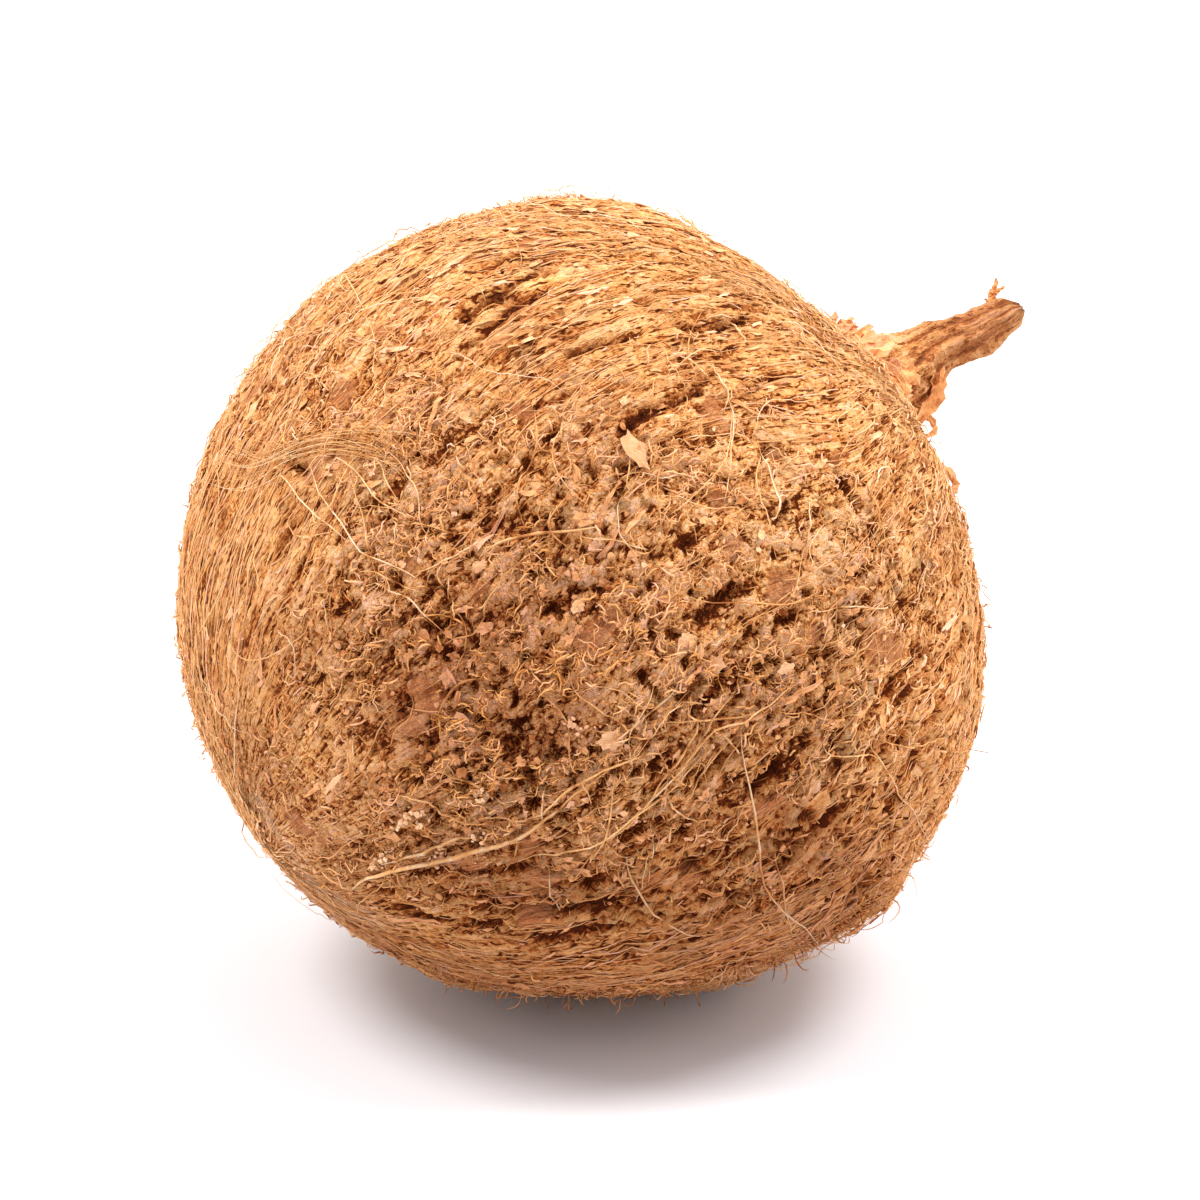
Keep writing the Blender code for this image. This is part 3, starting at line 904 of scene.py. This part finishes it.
knots = 0.10 * noise_at(along_spur(turn, 1.3, 9.0))
cords = noise_at(along_spur(swept, 2.0, 3.6) + 9)
fine_cords = noise_at(along_spur(swept, 7.0, 9.0) + 19)
torn = crumble_at(along_spur(swept, 5.0, 18.0) + 29)
splits = between(noise_at(along_spur(swept, 2.4, 3.8) + 39), 0.12, 0.34)
relief = 0.24 * cords + 0.10 * fine_cords + 0.12 * torn - 0.22 * splits
closing = np.sqrt(between(1.0 - t, 0.0, 0.035 + 0.02 * (1 + cords))) * np.sqrt(between(t, 0.0, 0.02))
radius = plain * (1.03 + ribs + knots + relief * (0.7 + 0.5 * t)) * closing
sideways = lean * np.cos(turn)[:, None] + across * (np.sin(turn) * SPUR_THICKNESS)[:, None]
middle = spur_middle(np.minimum(t, 0.995) + 0.012 * cords * between(t, 0.9, 1.0))
move_points(spur_mesh, NUT_MIDDLE + (middle + sideways * radius[:, None]) @ laid.T, 0.0)
# Painted shade: darker in the grooves between the spur's cords and ribs.
store(spur_mesh, "low", np.clip(0.26 - relief * 1.7 - ribs * 0.6, 0, 1))
store(spur_mesh, "rubbed", np.full(len(t), 0.25))
store(spur_mesh, "bare", np.clip((0.38 + 0.46 * between(t, 0.35, 0.75)) * (1 - 1.8 * relief), 0, 1))
store(spur_mesh, "grey", between(t + 0.03 * torn, 0.94, 0.99))
store(spur_mesh, "pale", np.zeros(len(t)))
store_vectors(spur_mesh, "grain", along_spur(swept, 0.06, 0.65))
spur_mesh.shade_smooth()
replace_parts(piece_from(spur_mesh, bpy.data.materials["coir_mat"]), "coconut")


# The torn collar.
# Thin strips of husk, torn when it was pulled off and dried curled. A ragged frill of them stands round the spur's
# root, a strap and a loop hang beside it, and a forked sprig sticks up near its tip. They grew on the nut.


def bow(root, middle, tip, steps):
    """Points on the curve from each root to its tip that is drawn towards the middle point."""
    t = np.linspace(0, 1, steps + 1)[None, :, None]
    return root[:, None] * (1 - t) ** 2 + middle[:, None] * 2 * t * (1 - t) + tip[:, None] * t**2


def strips(name, paths, side, root_width, tip_width, thickness, cupped, tone, draw):
    """A mesh of closed ragged strips along the paths, in world metres. side points across each of them."""
    count, steps = paths.shape[0], paths.shape[1] - 1
    bm = bmesh.new()
    bmesh.ops.create_cube(bm, size=2.0)
    for axis_number, cuts in ((2, steps - 1), (0, 3)):
        edges = [edge for edge in bm.edges if abs(edge.verts[0].co[axis_number] - edge.verts[1].co[axis_number]) > 1.5]
        bmesh.ops.subdivide_edges(bm, edges=edges, cuts=cuts, use_grid_fill=True)
    bmesh.ops.triangulate(bm, faces=bm.faces)
    mesh, own = many_of(bm, name, count)
    t = (own[:, 2] + 1) / 2
    ring = np.rint(t * steps).astype(int)
    along = unit(np.gradient(paths, axis=1))
    broad = unit(side[:, None] - along * np.sum(along * side[:, None], axis=-1, keepdims=True))
    thick = np.cross(along, broad)
    width = root_width[:, None] * (1 - t) + tip_width[:, None] * t
    column = np.rint((own[:, 0] + 1) * 2).astype(int)
    ragged = draw.uniform(0.55, 1.30, (count, steps + 1, 5))[:, ring, column]
    ragged = np.where(np.abs(own[:, 0]) > 0.9, ragged, 1.0)
    lumps = draw.normal(0, 0.16, (count, steps + 1, 5))[:, ring, column] * width
    sideways = own[:, 0] * ragged * width / 2
    thinner = thickness[:, None] / 2 * (1 - 0.55 * np.abs(own[:, 0])) * (1 - 0.4 * t)
    off = cupped[:, None] * own[:, 0] ** 2 * width + lumps + own[:, 1] * thinner
    points = paths[:, ring] + broad[:, ring] * sideways[..., None] + thick[:, ring] * off[..., None]
    move_points(mesh, points, ABOVE_FLOOR)
    store(mesh, "tone", np.repeat(tone, len(own)) + np.tile(0.10 * np.abs(own[:, 0]), count))
    mesh.shade_smooth()
    mesh.set_sharp_from_angle(angle=math.radians(50))
    return mesh


def on_nut(angle, turn, above):
    """The point of the coat at that angle and turn or above it, in the nut's own frame."""
    here = direction(angle, turn)
    return here * (ground(here) + above)[..., None]


torn_husk = thread_material(
    "torn_husk",
    (
        (0.02, (0.260, 0.075, 0.020)),
        (0.30, (0.620, 0.240, 0.078)),
        (0.62, (0.850, 0.420, 0.175)),
        (0.98, (0.900, 0.520, 0.320)),
    ),
)

draw = np.random.RandomState(51)
FRILL = 44
turn = math.tau * 2 * (np.arange(FRILL) + draw.uniform(-0.4, 0.4, FRILL)) / FRILL
outward = lean * np.cos(turn)[:, None] + across * np.sin(turn)[:, None]
# Every other strip stands a little further in.
inner = (np.arange(FRILL) % 2) * 0.0016
upper = (1 - np.cos(turn)) / 2
root_beside = lean * 0.0012 + outward * (0.0104 * draw.uniform(0.94, 1.08, FRILL) - inner)[:, None]
tip_beside = lean * 0.0014 + outward * (0.0074 + 0.0014 * upper + draw.normal(0, 0.0009, FRILL) - inner)[:, None]
angle = np.arctan2(np.linalg.norm(root_beside, axis=1), 0.0520)
root = on_nut(angle, np.arctan2(root_beside[:, 1], root_beside[:, 0]), -0.0012)
rise = 0.0058 + 0.0036 * upper + draw.normal(0, 0.0012, FRILL)
round_spur = np.cross(axis, outward)
tip = tip_beside + axis * (root[:, 2] + rise)[:, None] + round_spur * draw.normal(0, 0.0010, FRILL)[:, None]
middle = (root + tip) / 2 + outward * draw.uniform(0.0004, 0.0022, FRILL)[:, None]
frill_width = draw.uniform(0.0034, 0.0064, FRILL)
frill = strips(
    "collar_frill",
    NUT_MIDDLE + bow(root, middle, tip, 10) @ laid.T,
    side=round_spur @ laid.T, root_width=frill_width, tip_width=frill_width * draw.uniform(0.25, 0.8, FRILL),
    thickness=draw.uniform(0.0003, 0.0005, FRILL), cupped=draw.normal(0, 0.10, FRILL),
    tone=draw.uniform(0.48, 0.86, FRILL), draw=draw,
)
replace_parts(piece_from(frill, torn_husk), "coconut")


def beside_spur(*rows):
    """Points in the nut's own frame from rows of how high up its axis, how far to the leaning side and how far back."""
    high, leaning, back = np.array(rows).T[..., None] / 1000
    return axis * high + lean * leaning + across * back


# The strap, its dark lining, the curl and the loop below it, then the sprig's stem, its two prongs and its nub. For
# each its root, middle, tip and the way across it, then its widths at root and tip, its thickness, cup and tone.
TEARS = (
    ((63.0, 5.8, -1.5), (61.4, 9.3, -1.8), (54.6, 10.4, -1.4), (700, 700, 100), (0.0028, 0.0018, 0.0009, 0.15, 0.38)),
    ((63.5, 4.6, 1.2), (60.2, 9.0, 1.5), (54.5, 8.4, 1.2), (300, 500, 800), (0.0080, 0.0064, 0.0005, -0.20, 0.10)),
    ((57.2, 10.4, -1.0), (58.0, 14.0, -0.6), (54.4, 12.2, -0.8), (700, 700, 300), (0.0013, 0.0006, 0.0005, 0.20, 0.50)),
    ((52.4, 15.0, 0), (58.7, 22.9, 0.5), (50.0, 20.8, 0), (0, 400, 900), (0.0018, 0.0012, 0.0011, 0.10, 0.62)),
    ((76.0, 4.2, 0), (77.3, 2.4, 0), (78.2, 2.1, 0), (660, 750, 0), (0.0015, 0.0011, 0.0009, 0.10, 0.36)),
    ((77.8, 2.5, 0), (78.8, 1.9, 0), (79.8, 0.9, 0.2), (660, 750, 0), (0.0011, 0.0005, 0.0007, 0.10, 0.32)),
    ((77.8, 2.5, 0), (78.9, 2.6, 0), (79.9, 2.6, -0.2), (750, -660, 0), (0.0009, 0.0004, 0.0006, 0.10, 0.36)),
    ((76.6, 3.3, 0), (76.6, 2.7, 0), (76.2, 2.2, 0), (750, 660, 0), (0.0009, 0.0003, 0.0005, 0.10, 0.40)),
)
roots, middles, tips, sides = (beside_spur(*points) for points in list(zip(*TEARS))[:4])
root_width, tip_width, thickness, cupped, tone = np.array([row[4] for row in TEARS]).T
tears = strips(
    "husk_tears",
    NUT_MIDDLE + bow(roots, middles, tips, 10) @ laid.T,
    side=unit(sides) @ laid.T, root_width=root_width, tip_width=tip_width, thickness=thickness, cupped=cupped,
    tone=tone, draw=draw,
)
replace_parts(piece_from(tears, torn_husk), "coconut")


# The torn flakes.
# Longer scales of coir that lie along the bundles all over the coat, held at one end, with the other end lifted.

FLAKES = 420
draw = np.random.RandomState(61)
here = scattered(FLAKES, lambda p: (0.9 - 0.4 * rubbed_at(p)) * (1 - 0.8 * bare_at(p)), draw)
# About half of them are held at the end nearer the blossom end.
heading = draw.normal(0, 0.22, FLAKES) + math.pi * (draw.random(FLAKES) < 0.5)
flake_paths = run_over_coat(
    here, heading=heading, bend=0.5, waviness=(0, 0.15), length=(0.0025, 0.0085), root=-0.0004,
    middle=(-0.0001, 0.0003), tip=(0, 0.0012), steps=6, draw=draw,
)
flake_width = draw.uniform(0.0004, 0.0013, FLAKES)
flakes = strips(
    "torn_flakes",
    flake_paths,
    side=unit(np.cross(flake_paths[:, -1] - flake_paths[:, 0], here @ laid.T)), root_width=flake_width,
    tip_width=flake_width * draw.uniform(0.2, 0.7, FLAKES), thickness=draw.uniform(0.00014, 0.00028, FLAKES),
    cupped=draw.normal(0, 0.18, FLAKES), tone=tones(0.52, 0.16, FLAKES, draw), draw=draw,
)
piece_from(flakes, torn_husk)


# The loose hairs.
# Long thin coir fibres that have come free of the mat and lie across it, each still caught in it at one end or both.
# Some are bleached pale.

HAIR_STEPS = 18
# Each hair's points as pixels of the photograph, its thickness and lift in tenths of a millimetre, and its tone.
HAIRS_SEEN = (
    (((305, 456), (316, 485), (326, 504), (340, 521), (352, 540), (362, 553), (385, 562), (407, 572), (420, 580)),
      3.0, 14, 1.00),
    (((276, 474), (284, 478), (300, 500), (318, 517), (335, 530), (350, 545)), 2.8, 12, 0.95),
    (((332, 455), (352, 468), (370, 488), (378, 500), (395, 510), (412, 518)), 2.6, 12, 0.90),
    (((360, 444), (378, 462), (385, 478), (393, 495), (399, 503)), 2.6, 10, 0.90),
    (((376, 444), (397, 459), (408, 477), (418, 488), (420, 510), (422, 528), (432, 540)), 2.4, 12, 0.95),
    (((348, 470), (356, 495), (365, 525), (370, 555), (375, 575), (381, 588)), 2.4, 10, 0.85),
    (((381, 588), (395, 593), (412, 600), (427, 617), (445, 635)), 2.8, 12, 1.10),
    (((288, 424), (292, 432), (298, 442)), 2.4, 8, 1.05),
    (((262, 475), (258, 500), (256, 530), (250, 560), (244, 600), (240, 640)), 2.2, 6, 0.85),
    (((300, 505), (286, 518), (290, 532), (305, 537), (322, 533), (337, 531)), 2.2, 8, 0.85),
    (((240, 690), (237, 720), (235, 760), (230, 790)), 2.4, 6, 1.05),
    (((397, 518), (396, 540), (391, 560)), 2.4, 8, 0.85),
    (((322, 598), (325, 615), (328, 632)), 2.6, 6, 0.95),
    (((348, 894), (360, 882), (375, 874), (400, 868), (430, 861), (455, 856), (480, 848), (505, 842), (525, 834),
      (545, 820), (565, 806)), 8.5, 18, 0.90),
    (((372, 868), (400, 860), (420, 853), (440, 845), (458, 838), (475, 838)), 6.0, 16, 0.92),
    (((520, 822), (537, 816), (550, 805), (565, 792), (585, 780), (605, 769), (640, 757), (655, 753), (665, 758)),
      4.0, 12, 0.78),
    (((530, 835), (545, 822), (560, 810), (575, 795), (600, 778), (618, 765)), 3.6, 10, 0.74),
    (((510, 868), (525, 858), (540, 852), (560, 850), (580, 846), (603, 838), (630, 818), (660, 798), (680, 778),
      (700, 760), (722, 740)), 3.4, 14, 0.84),
    (((567, 887), (580, 872), (592, 856), (603, 842), (610, 815), (613, 790), (618, 765)), 3.4, 10, 0.74),
    (((512, 866), (516, 850), (517, 835), (522, 820)), 3.6, 9, 0.74),
    (((440, 769), (452, 778), (465, 782), (480, 788), (488, 790)), 5.4, 10, 0.70),
    (((396, 795), (415, 797), (430, 803), (442, 813), (449, 817)), 4.0, 8, 0.86),
    (((436, 718), (445, 700), (455, 687), (465, 681), (480, 679)), 4.6, 10, 0.60),
    (((743, 725), (741, 740), (744, 765), (748, 785), (752, 805), (755, 825), (757, 850), (762, 880), (772, 898),
      (785, 911), (798, 918), (808, 930), (818, 943), (826, 957)), 3.6, 22, 1.00),
    (((722, 733), (735, 748), (744, 760)), 3.2, 10, 0.90),
    (((775, 850), (778, 870), (783, 893), (785, 915), (790, 935)), 3.2, 10, 0.86),
    (((880, 715), (873, 745), (880, 758), (888, 775), (898, 795), (910, 808), (917, 825), (924, 840)), 3.0, 12, 0.92),
    (((822, 745), (830, 755), (845, 758), (860, 755), (873, 756), (884, 762)), 2.8, 10, 0.90),
    (((627, 855), (628, 870), (636, 885), (645, 902), (655, 915), (670, 925), (690, 934), (704, 936)), 4.0, 14, 0.94),
    (((800, 684), (785, 690), (770, 705), (755, 712), (745, 722), (720, 727), (705, 740), (690, 757), (675, 775),
      (655, 795), (640, 812), (620, 830), (600, 847)), 4.0, 14, 0.82),
    (((762, 712), (742, 718), (720, 720), (690, 722), (660, 724)), 3.6, 10, 0.78),
    (((700, 715), (695, 735), (680, 760), (660, 785), (640, 815)), 4.2, 10, 0.66),
    (((742, 733), (722, 750), (702, 775), (690, 797)), 3.2, 10, 0.82),
    (((668, 778), (668, 795), (675, 810), (690, 820), (705, 824)), 2.8, 9, 0.94),
    (((746, 803), (735, 825), (725, 837), (716, 838), (714, 832)), 3.6, 9, 0.90),
    (((618, 742), (640, 722), (660, 705), (675, 690), (679, 678)), 3.6, 10, 0.92),
    (((755, 868), (753, 895), (750, 920)), 4.2, 8, 0.60),
    (((774, 955), (778, 970), (779, 985)), 3.2, 12, 0.66),
    (((872, 905), (864, 922), (850, 940), (846, 946)), 2.8, 26, 0.40),
    (((858, 918), (848, 932), (836, 930)), 2.4, 24, 0.44),
    (((892, 902), (880, 915), (866, 926), (858, 940)), 2.2, 26, 0.50),
    (((730, 316), (740, 330), (749, 341)), 3.2, 8, 0.90),
    (((728, 395), (733, 410), (733, 430), (730, 455), (728, 480), (724, 505)), 2.8, 12, 0.98),
    (((712, 360), (718, 380), (728, 395), (725, 410)), 3.0, 10, 0.92),
    (((678, 352), (700, 370), (714, 382)), 3.0, 8, 0.86),
    (((758, 446), (768, 470), (773, 490), (777, 505), (776, 517), (770, 519)), 3.6, 12, 1.00),
    (((650, 480), (665, 473), (680, 474), (702, 481)), 3.4, 8, 0.84),
    (((875, 498), (877, 477), (884, 467), (896, 473)), 3.0, 10, 0.98),
    (((806, 498), (808, 520), (808, 547)), 3.0, 8, 0.88),
    (((618, 533), (628, 545), (640, 553), (650, 552), (658, 544)), 3.2, 8, 0.84),
    (((880, 545), (890, 538), (906, 537)), 3.2, 8, 0.94),
    (((476, 560), (495, 545), (520, 537), (545, 533), (575, 531), (602, 527)), 5.2, 12, 0.84),
    (((650, 290), (610, 300), (560, 318), (520, 330)), 2.2, 8, 0.90),
    (((470, 240), (440, 262), (420, 290), (405, 300)), 1.8, 10, 0.30),
    (((330, 262), (345, 275), (355, 292), (362, 308)), 2.6, 14, 0.86),
    (((300, 335), (340, 325), (360, 310), (400, 297), (450, 292)), 2.6, 10, 0.96),
    (((362, 310), (372, 335), (370, 360), (374, 378)), 2.4, 8, 0.88),
)


def through(points, steps):
    """Evenly spaced places on the nut along a smooth line through those pixels."""
    corner = np.array([shown_at(x, y) for x, y in points])
    corner = np.concatenate((corner[:1] * 2 - corner[1:2], corner, corner[-1:] * 2 - corner[-2:-1]))
    at = np.linspace(0, len(points) - 1, steps + 1)
    k = np.minimum(at.astype(int), len(points) - 2)
    f = (at - k)[:, None]
    a, b, c, d = corner[k], corner[k + 1], corner[k + 2], corner[k + 3]
    return unit(b + 0.5 * f * (c - a + f * (2 * a - 5 * b + 4 * c - d + f * (3 * (b - c) + d - a))))


draw = np.random.RandomState(71)
passed = np.array([through(points, HAIR_STEPS) for points, _, _, _ in HAIRS_SEEN])
thick, lifted, tone = np.array([row[1:] for row in HAIRS_SEEN]).T
t = np.linspace(0, 1, HAIR_STEPS + 1)[None, :]
passed_radius = np.maximum(ground(passed), smooth_radius(passed) - 0.0004)
smoothed = (np.roll(passed_radius, 1, axis=1) + passed_radius + np.roll(passed_radius, -1, axis=1)) / 3
passed_radius[:, 1:-1] = np.maximum(passed_radius, smoothed)[:, 1:-1]
lift = 0.0002 + (lifted / 10000)[:, None] * (4 * t * (1 - t)) ** 0.7 * draw.uniform(0.35, 0.75, (len(tone), 1))
seen_paths = NUT_MIDDLE + (passed @ laid.T) * (passed_radius + lift)[..., None]

# A wisp of fine hairs that arches over the left side, all along nearly the same line of pixels.
ARCH = ((225, 452), (250, 461), (276, 456), (300, 446), (330, 439), (360, 441), (388, 449), (404, 462))
ARCH_HAIRS = 24
moved = zip(draw.normal(0, 12, ARCH_HAIRS), draw.normal(0, 9, ARCH_HAIRS))
arch = np.array([through([(x + dx, y + dy) for x, y in ARCH], HAIR_STEPS) for dx, dy in moved])
arch = arch + draw.normal(0, 0.05, (ARCH_HAIRS, 1, 3)) * (t[..., None] - draw.uniform(0.2, 0.8, (ARCH_HAIRS, 1, 1)))
waves = t[..., None] * draw.uniform(6, 16, (ARCH_HAIRS, 1, 3)) + draw.uniform(0, 6, (ARCH_HAIRS, 1, 3))
arch = unit(arch + 0.004 * np.sin(waves))
arch_lift = draw.uniform(0.0001, 0.0009, (ARCH_HAIRS, 1)) + 0.0012 * t * (1 - t)
arch_paths = NUT_MIDDLE + (arch @ laid.T) * (smooth_radius(arch) + arch_lift)[..., None]

ALL_ROUND = 330
here = scattered(ALL_ROUND, lambda p: 0.3 + 0.7 * rubbed_at(p), draw)
round_paths = run_over_coat(
    here, heading=0.8, bend=1.4, waviness=(0.05, 0.5), length=(0.006, 0.022), root=-0.0002,
    middle=(0.0004, 0.0016), tip=(0, 0.0016), steps=HAIR_STEPS, draw=draw,
)
hair_paths = np.concatenate((seen_paths, arch_paths, round_paths))
hair_thickness = np.concatenate(
    (thick / 10000, draw.uniform(0.00009, 0.00018, ARCH_HAIRS), draw.uniform(0.00012, 0.00030, ALL_ROUND))
)
hair_tone = np.concatenate(
    (tone - 0.10, draw.uniform(0.35, 0.85, ARCH_HAIRS), tones(0.58, 0.18, ALL_ROUND, draw))
)
loose = thread_material(
    "loose_hair",
    (
        (0.02, (0.420, 0.150, 0.042)),
        (0.40, (0.760, 0.370, 0.130)),
        (0.72, (0.900, 0.540, 0.230)),
        (1.00, (0.960, 0.780, 0.540)),
    ),
)
piece_from(threads("loose_hairs", hair_paths, thickness=hair_thickness, flatness=0.8, tone=hair_tone), loose)


# The fuzz.
# Short broken ends of coir that stand off the mat all round, thickest along the side that lies low.

FUZZ = 620
LOW_FUZZ = 420
# Where the low fuzz grows on the outline that shows, in degrees, and how far from the middle of the nut in pixels.
LOW_SIDE = (246, 342)
LOW_RIGHT = (290, 325)
LOW_RIGHT_SHARE = 0.4
LOW_EDGE = (392, 408)
draw = np.random.RandomState(81)
here = scattered(FUZZ, lambda p: 0.4 + 0.6 * rubbed_at(p), draw)
at_low_right = draw.random(LOW_FUZZ) < LOW_RIGHT_SHARE
low_way = np.radians(np.where(at_low_right, draw.uniform(*LOW_RIGHT, LOW_FUZZ), draw.uniform(*LOW_SIDE, LOW_FUZZ)))
low_off = draw.uniform(*LOW_EDGE, LOW_FUZZ)
low_here = [shown_at(NUT_SEEN_AT + r * math.cos(a), FRAME_MIDDLE - r * math.sin(a)) for a, r in zip(low_way, low_off)]
here = np.concatenate((here, low_here))
outward = here @ laid.T
reach = np.concatenate((draw.uniform(0.0007, 0.0022, FUZZ), draw.uniform(0.0008, 0.0034, LOW_FUZZ)))[:, None]
leaning = unit(draw.normal(0, 1, (2, FUZZ + LOW_FUZZ, 3)))
root = NUT_MIDDLE + outward * (ground(here) - 0.0002)[:, None]
middle = root + (outward * 0.7 + leaning[0] * 0.8) * reach
tip = root + (outward * draw.uniform(0.2, 0.8, (FUZZ + LOW_FUZZ, 1)) + leaning[1] * 0.9) * reach
piece_from(
    threads(
        "coir_fuzz",
        bow(root, middle, tip, 6),
        thickness=draw.uniform(0.00011, 0.00030, FUZZ + LOW_FUZZ), flatness=0.8,
        tone=tones(0.50, 0.20, FUZZ + LOW_FUZZ, draw),
    ),
    coir_thread,
)


# The pale flakes.
# A few larger scales and heaps of crumbs of clean, pale pith that lie on the side that shows.

# Each flake as a pixel of the photograph, its length along the grain and its width in pixels.
FLAKES_SEEN = (
    (715, 665, 20, 15), (797, 543, 15, 10), (685, 640, 16, 12), (635, 450, 18, 40), (762, 432, 14, 10),
    (785, 668, 15, 11), (570, 727, 20, 14), (612, 740, 22, 16), (337, 780, 28, 6), (650, 647, 13, 11),
    (578, 606, 13, 11), (480, 566, 14, 9), (742, 610, 20, 12),
)
# Each heap as a pixel of the photograph and its spread in pixels.
HEAPS_SEEN = ((480, 838, 7), (380, 863, 4), (437, 857, 4), (418, 815, 4), (405, 820, 4), (478, 796, 4), (565, 725, 5))
HEAP_CRUMBS = 22
pale_pith = thread_material(
    "pale_pith",
    (
        (0.02, (0.520, 0.240, 0.100)),
        (0.35, (0.700, 0.380, 0.190)),
        (0.70, (0.870, 0.560, 0.320)),
        (0.98, (0.960, 0.760, 0.520)),
    ),
    browned=(0.80, 0.72, 0.70),
)
draw = np.random.RandomState(91)
seen = np.array(FLAKES_SEEN)
scale = bmesh.new()
bmesh.ops.create_uvsphere(scale, u_segments=22, v_segments=4, radius=1.0)
piece_from(
    bits(
        "pale_flakes", scale,
        np.array([shown_at(x, y) for x, y in seen[:, :2]]),
        length=seen[:, 2] / 2 / PIXELS_PER_METRE, width=seen[:, 3] / 2 / PIXELS_PER_METRE,
        thickness=np.full(len(seen), 0.00016), least=0.75, curl=0.06, spread=0.3,
        tone=draw.uniform(0.30, 0.60, len(seen)), draw=draw, above=0.0003,
    ),
    pale_pith,
)
heaped = [(x, y, spread) for x, y, spread in HEAPS_SEEN for _ in range(HEAP_CRUMBS)]
here = np.array([shown_at(x + 1.5 * draw.normal(0, spread), y + draw.normal(0, spread)) for x, y, spread in heaped])
crumb_length = draw.uniform(0.00020, 0.00050, len(heaped))
crumb = bmesh.new()
bmesh.ops.create_icosphere(crumb, subdivisions=1, radius=1.0)
piece_from(
    bits(
        "pale_crumbs", crumb, here, length=crumb_length,
        width=crumb_length * draw.uniform(0.55, 1.0, len(heaped)),
        thickness=crumb_length * draw.uniform(0.4, 0.8, len(heaped)), least=0.55, curl=0.0, spread=1.5,
        tone=draw.uniform(0.45, 0.85, len(heaped)), draw=draw, above=draw.uniform(0.0002, 0.0011, len(heaped)),
    ),
    pale_pith,
)


# The studio.
# A plain pale floor, soft light from above and both sides, and the camera where the photograph was taken from.

FLOOR_HALF_SIDE = 6.0
floor_bm = bmesh.new()
bmesh.ops.create_grid(floor_bm, x_segments=1, y_segments=1, size=FLOOR_HALF_SIDE)
floor_mesh = mesh_of(floor_bm, "floor")
floor = bpy.data.objects.new("floor", floor_mesh)
bpy.context.scene.collection.objects.link(floor)
floor_material, _, floor_shader = new_material("pale_floor", 0.7)
floor_shader.inputs["Base Color"].default_value = (0.752, 0.745, 0.776, 1.0)
floor_mesh.materials.append(floor_material)

world = bpy.data.worlds.new("studio")
bpy.context.scene.world = world
world.use_nodes = True
tree = world.node_tree
way = add_node(tree, "SeparateXYZ", {"Vector": add_node(tree, "TexCoord", {}).outputs["Generated"]}).outputs
# Brighter towards both sides, the back, the top and, once more, the right.
walls = times_plus(tree, maths_node(tree, "MULTIPLY", way["X"], way["X"]), 1.05, 0.32)
for axis_name, share in (("Y", 0.60), ("Z", 0.36), ("X", 0.45)):
    walls = times_plus(tree, maths_node(tree, "MAXIMUM", way[axis_name], 0.0), share, walls)
tree.nodes["Background"].inputs["Color"].default_value = (1.0, 1.0, 1.0, 1.0)
tree.links.new(walls, tree.nodes["Background"].inputs["Strength"])


def soft_light(name, comes_from, strength, spread, colour):
    """Even light from one side, as soft as a lamp that spreads over that many degrees."""
    lamp = bpy.data.lights.new(name, "SUN")
    lamp.angle = math.radians(spread)
    lamp.energy = strength * math.pi
    lamp.color = colour
    made = bpy.data.objects.new(name, lamp)
    bpy.context.scene.collection.objects.link(made)
    made.rotation_euler = (-Vector(comes_from)).to_track_quat("-Z", "Y").to_euler()


LIGHT_SPREAD = 24
soft_light("left_light", (-0.46, -0.16, 0.87), 0.78, LIGHT_SPREAD, (1.0, 0.99, 0.97))
soft_light("right_light", (0.44, -0.04, 0.90), 0.73, LIGHT_SPREAD, (1.0, 0.99, 0.98))

SENSOR_WIDTH = 36.0
camera_data = bpy.data.cameras.new("camera")
camera_data.sensor_width = SENSOR_WIDTH
camera_data.lens = SENSOR_WIDTH * FOCAL_PIXELS / (2 * FRAME_MIDDLE)
camera_data.clip_start = 0.01
camera = bpy.data.objects.new("camera", camera_data)
bpy.context.scene.collection.objects.link(camera)
camera.location = eye
camera.rotation_euler = (math.pi / 2 - LOOK_DOWN, 0, 0)
bpy.context.scene.camera = camera
bpy.context.scene.view_settings.view_transform = "Standard"
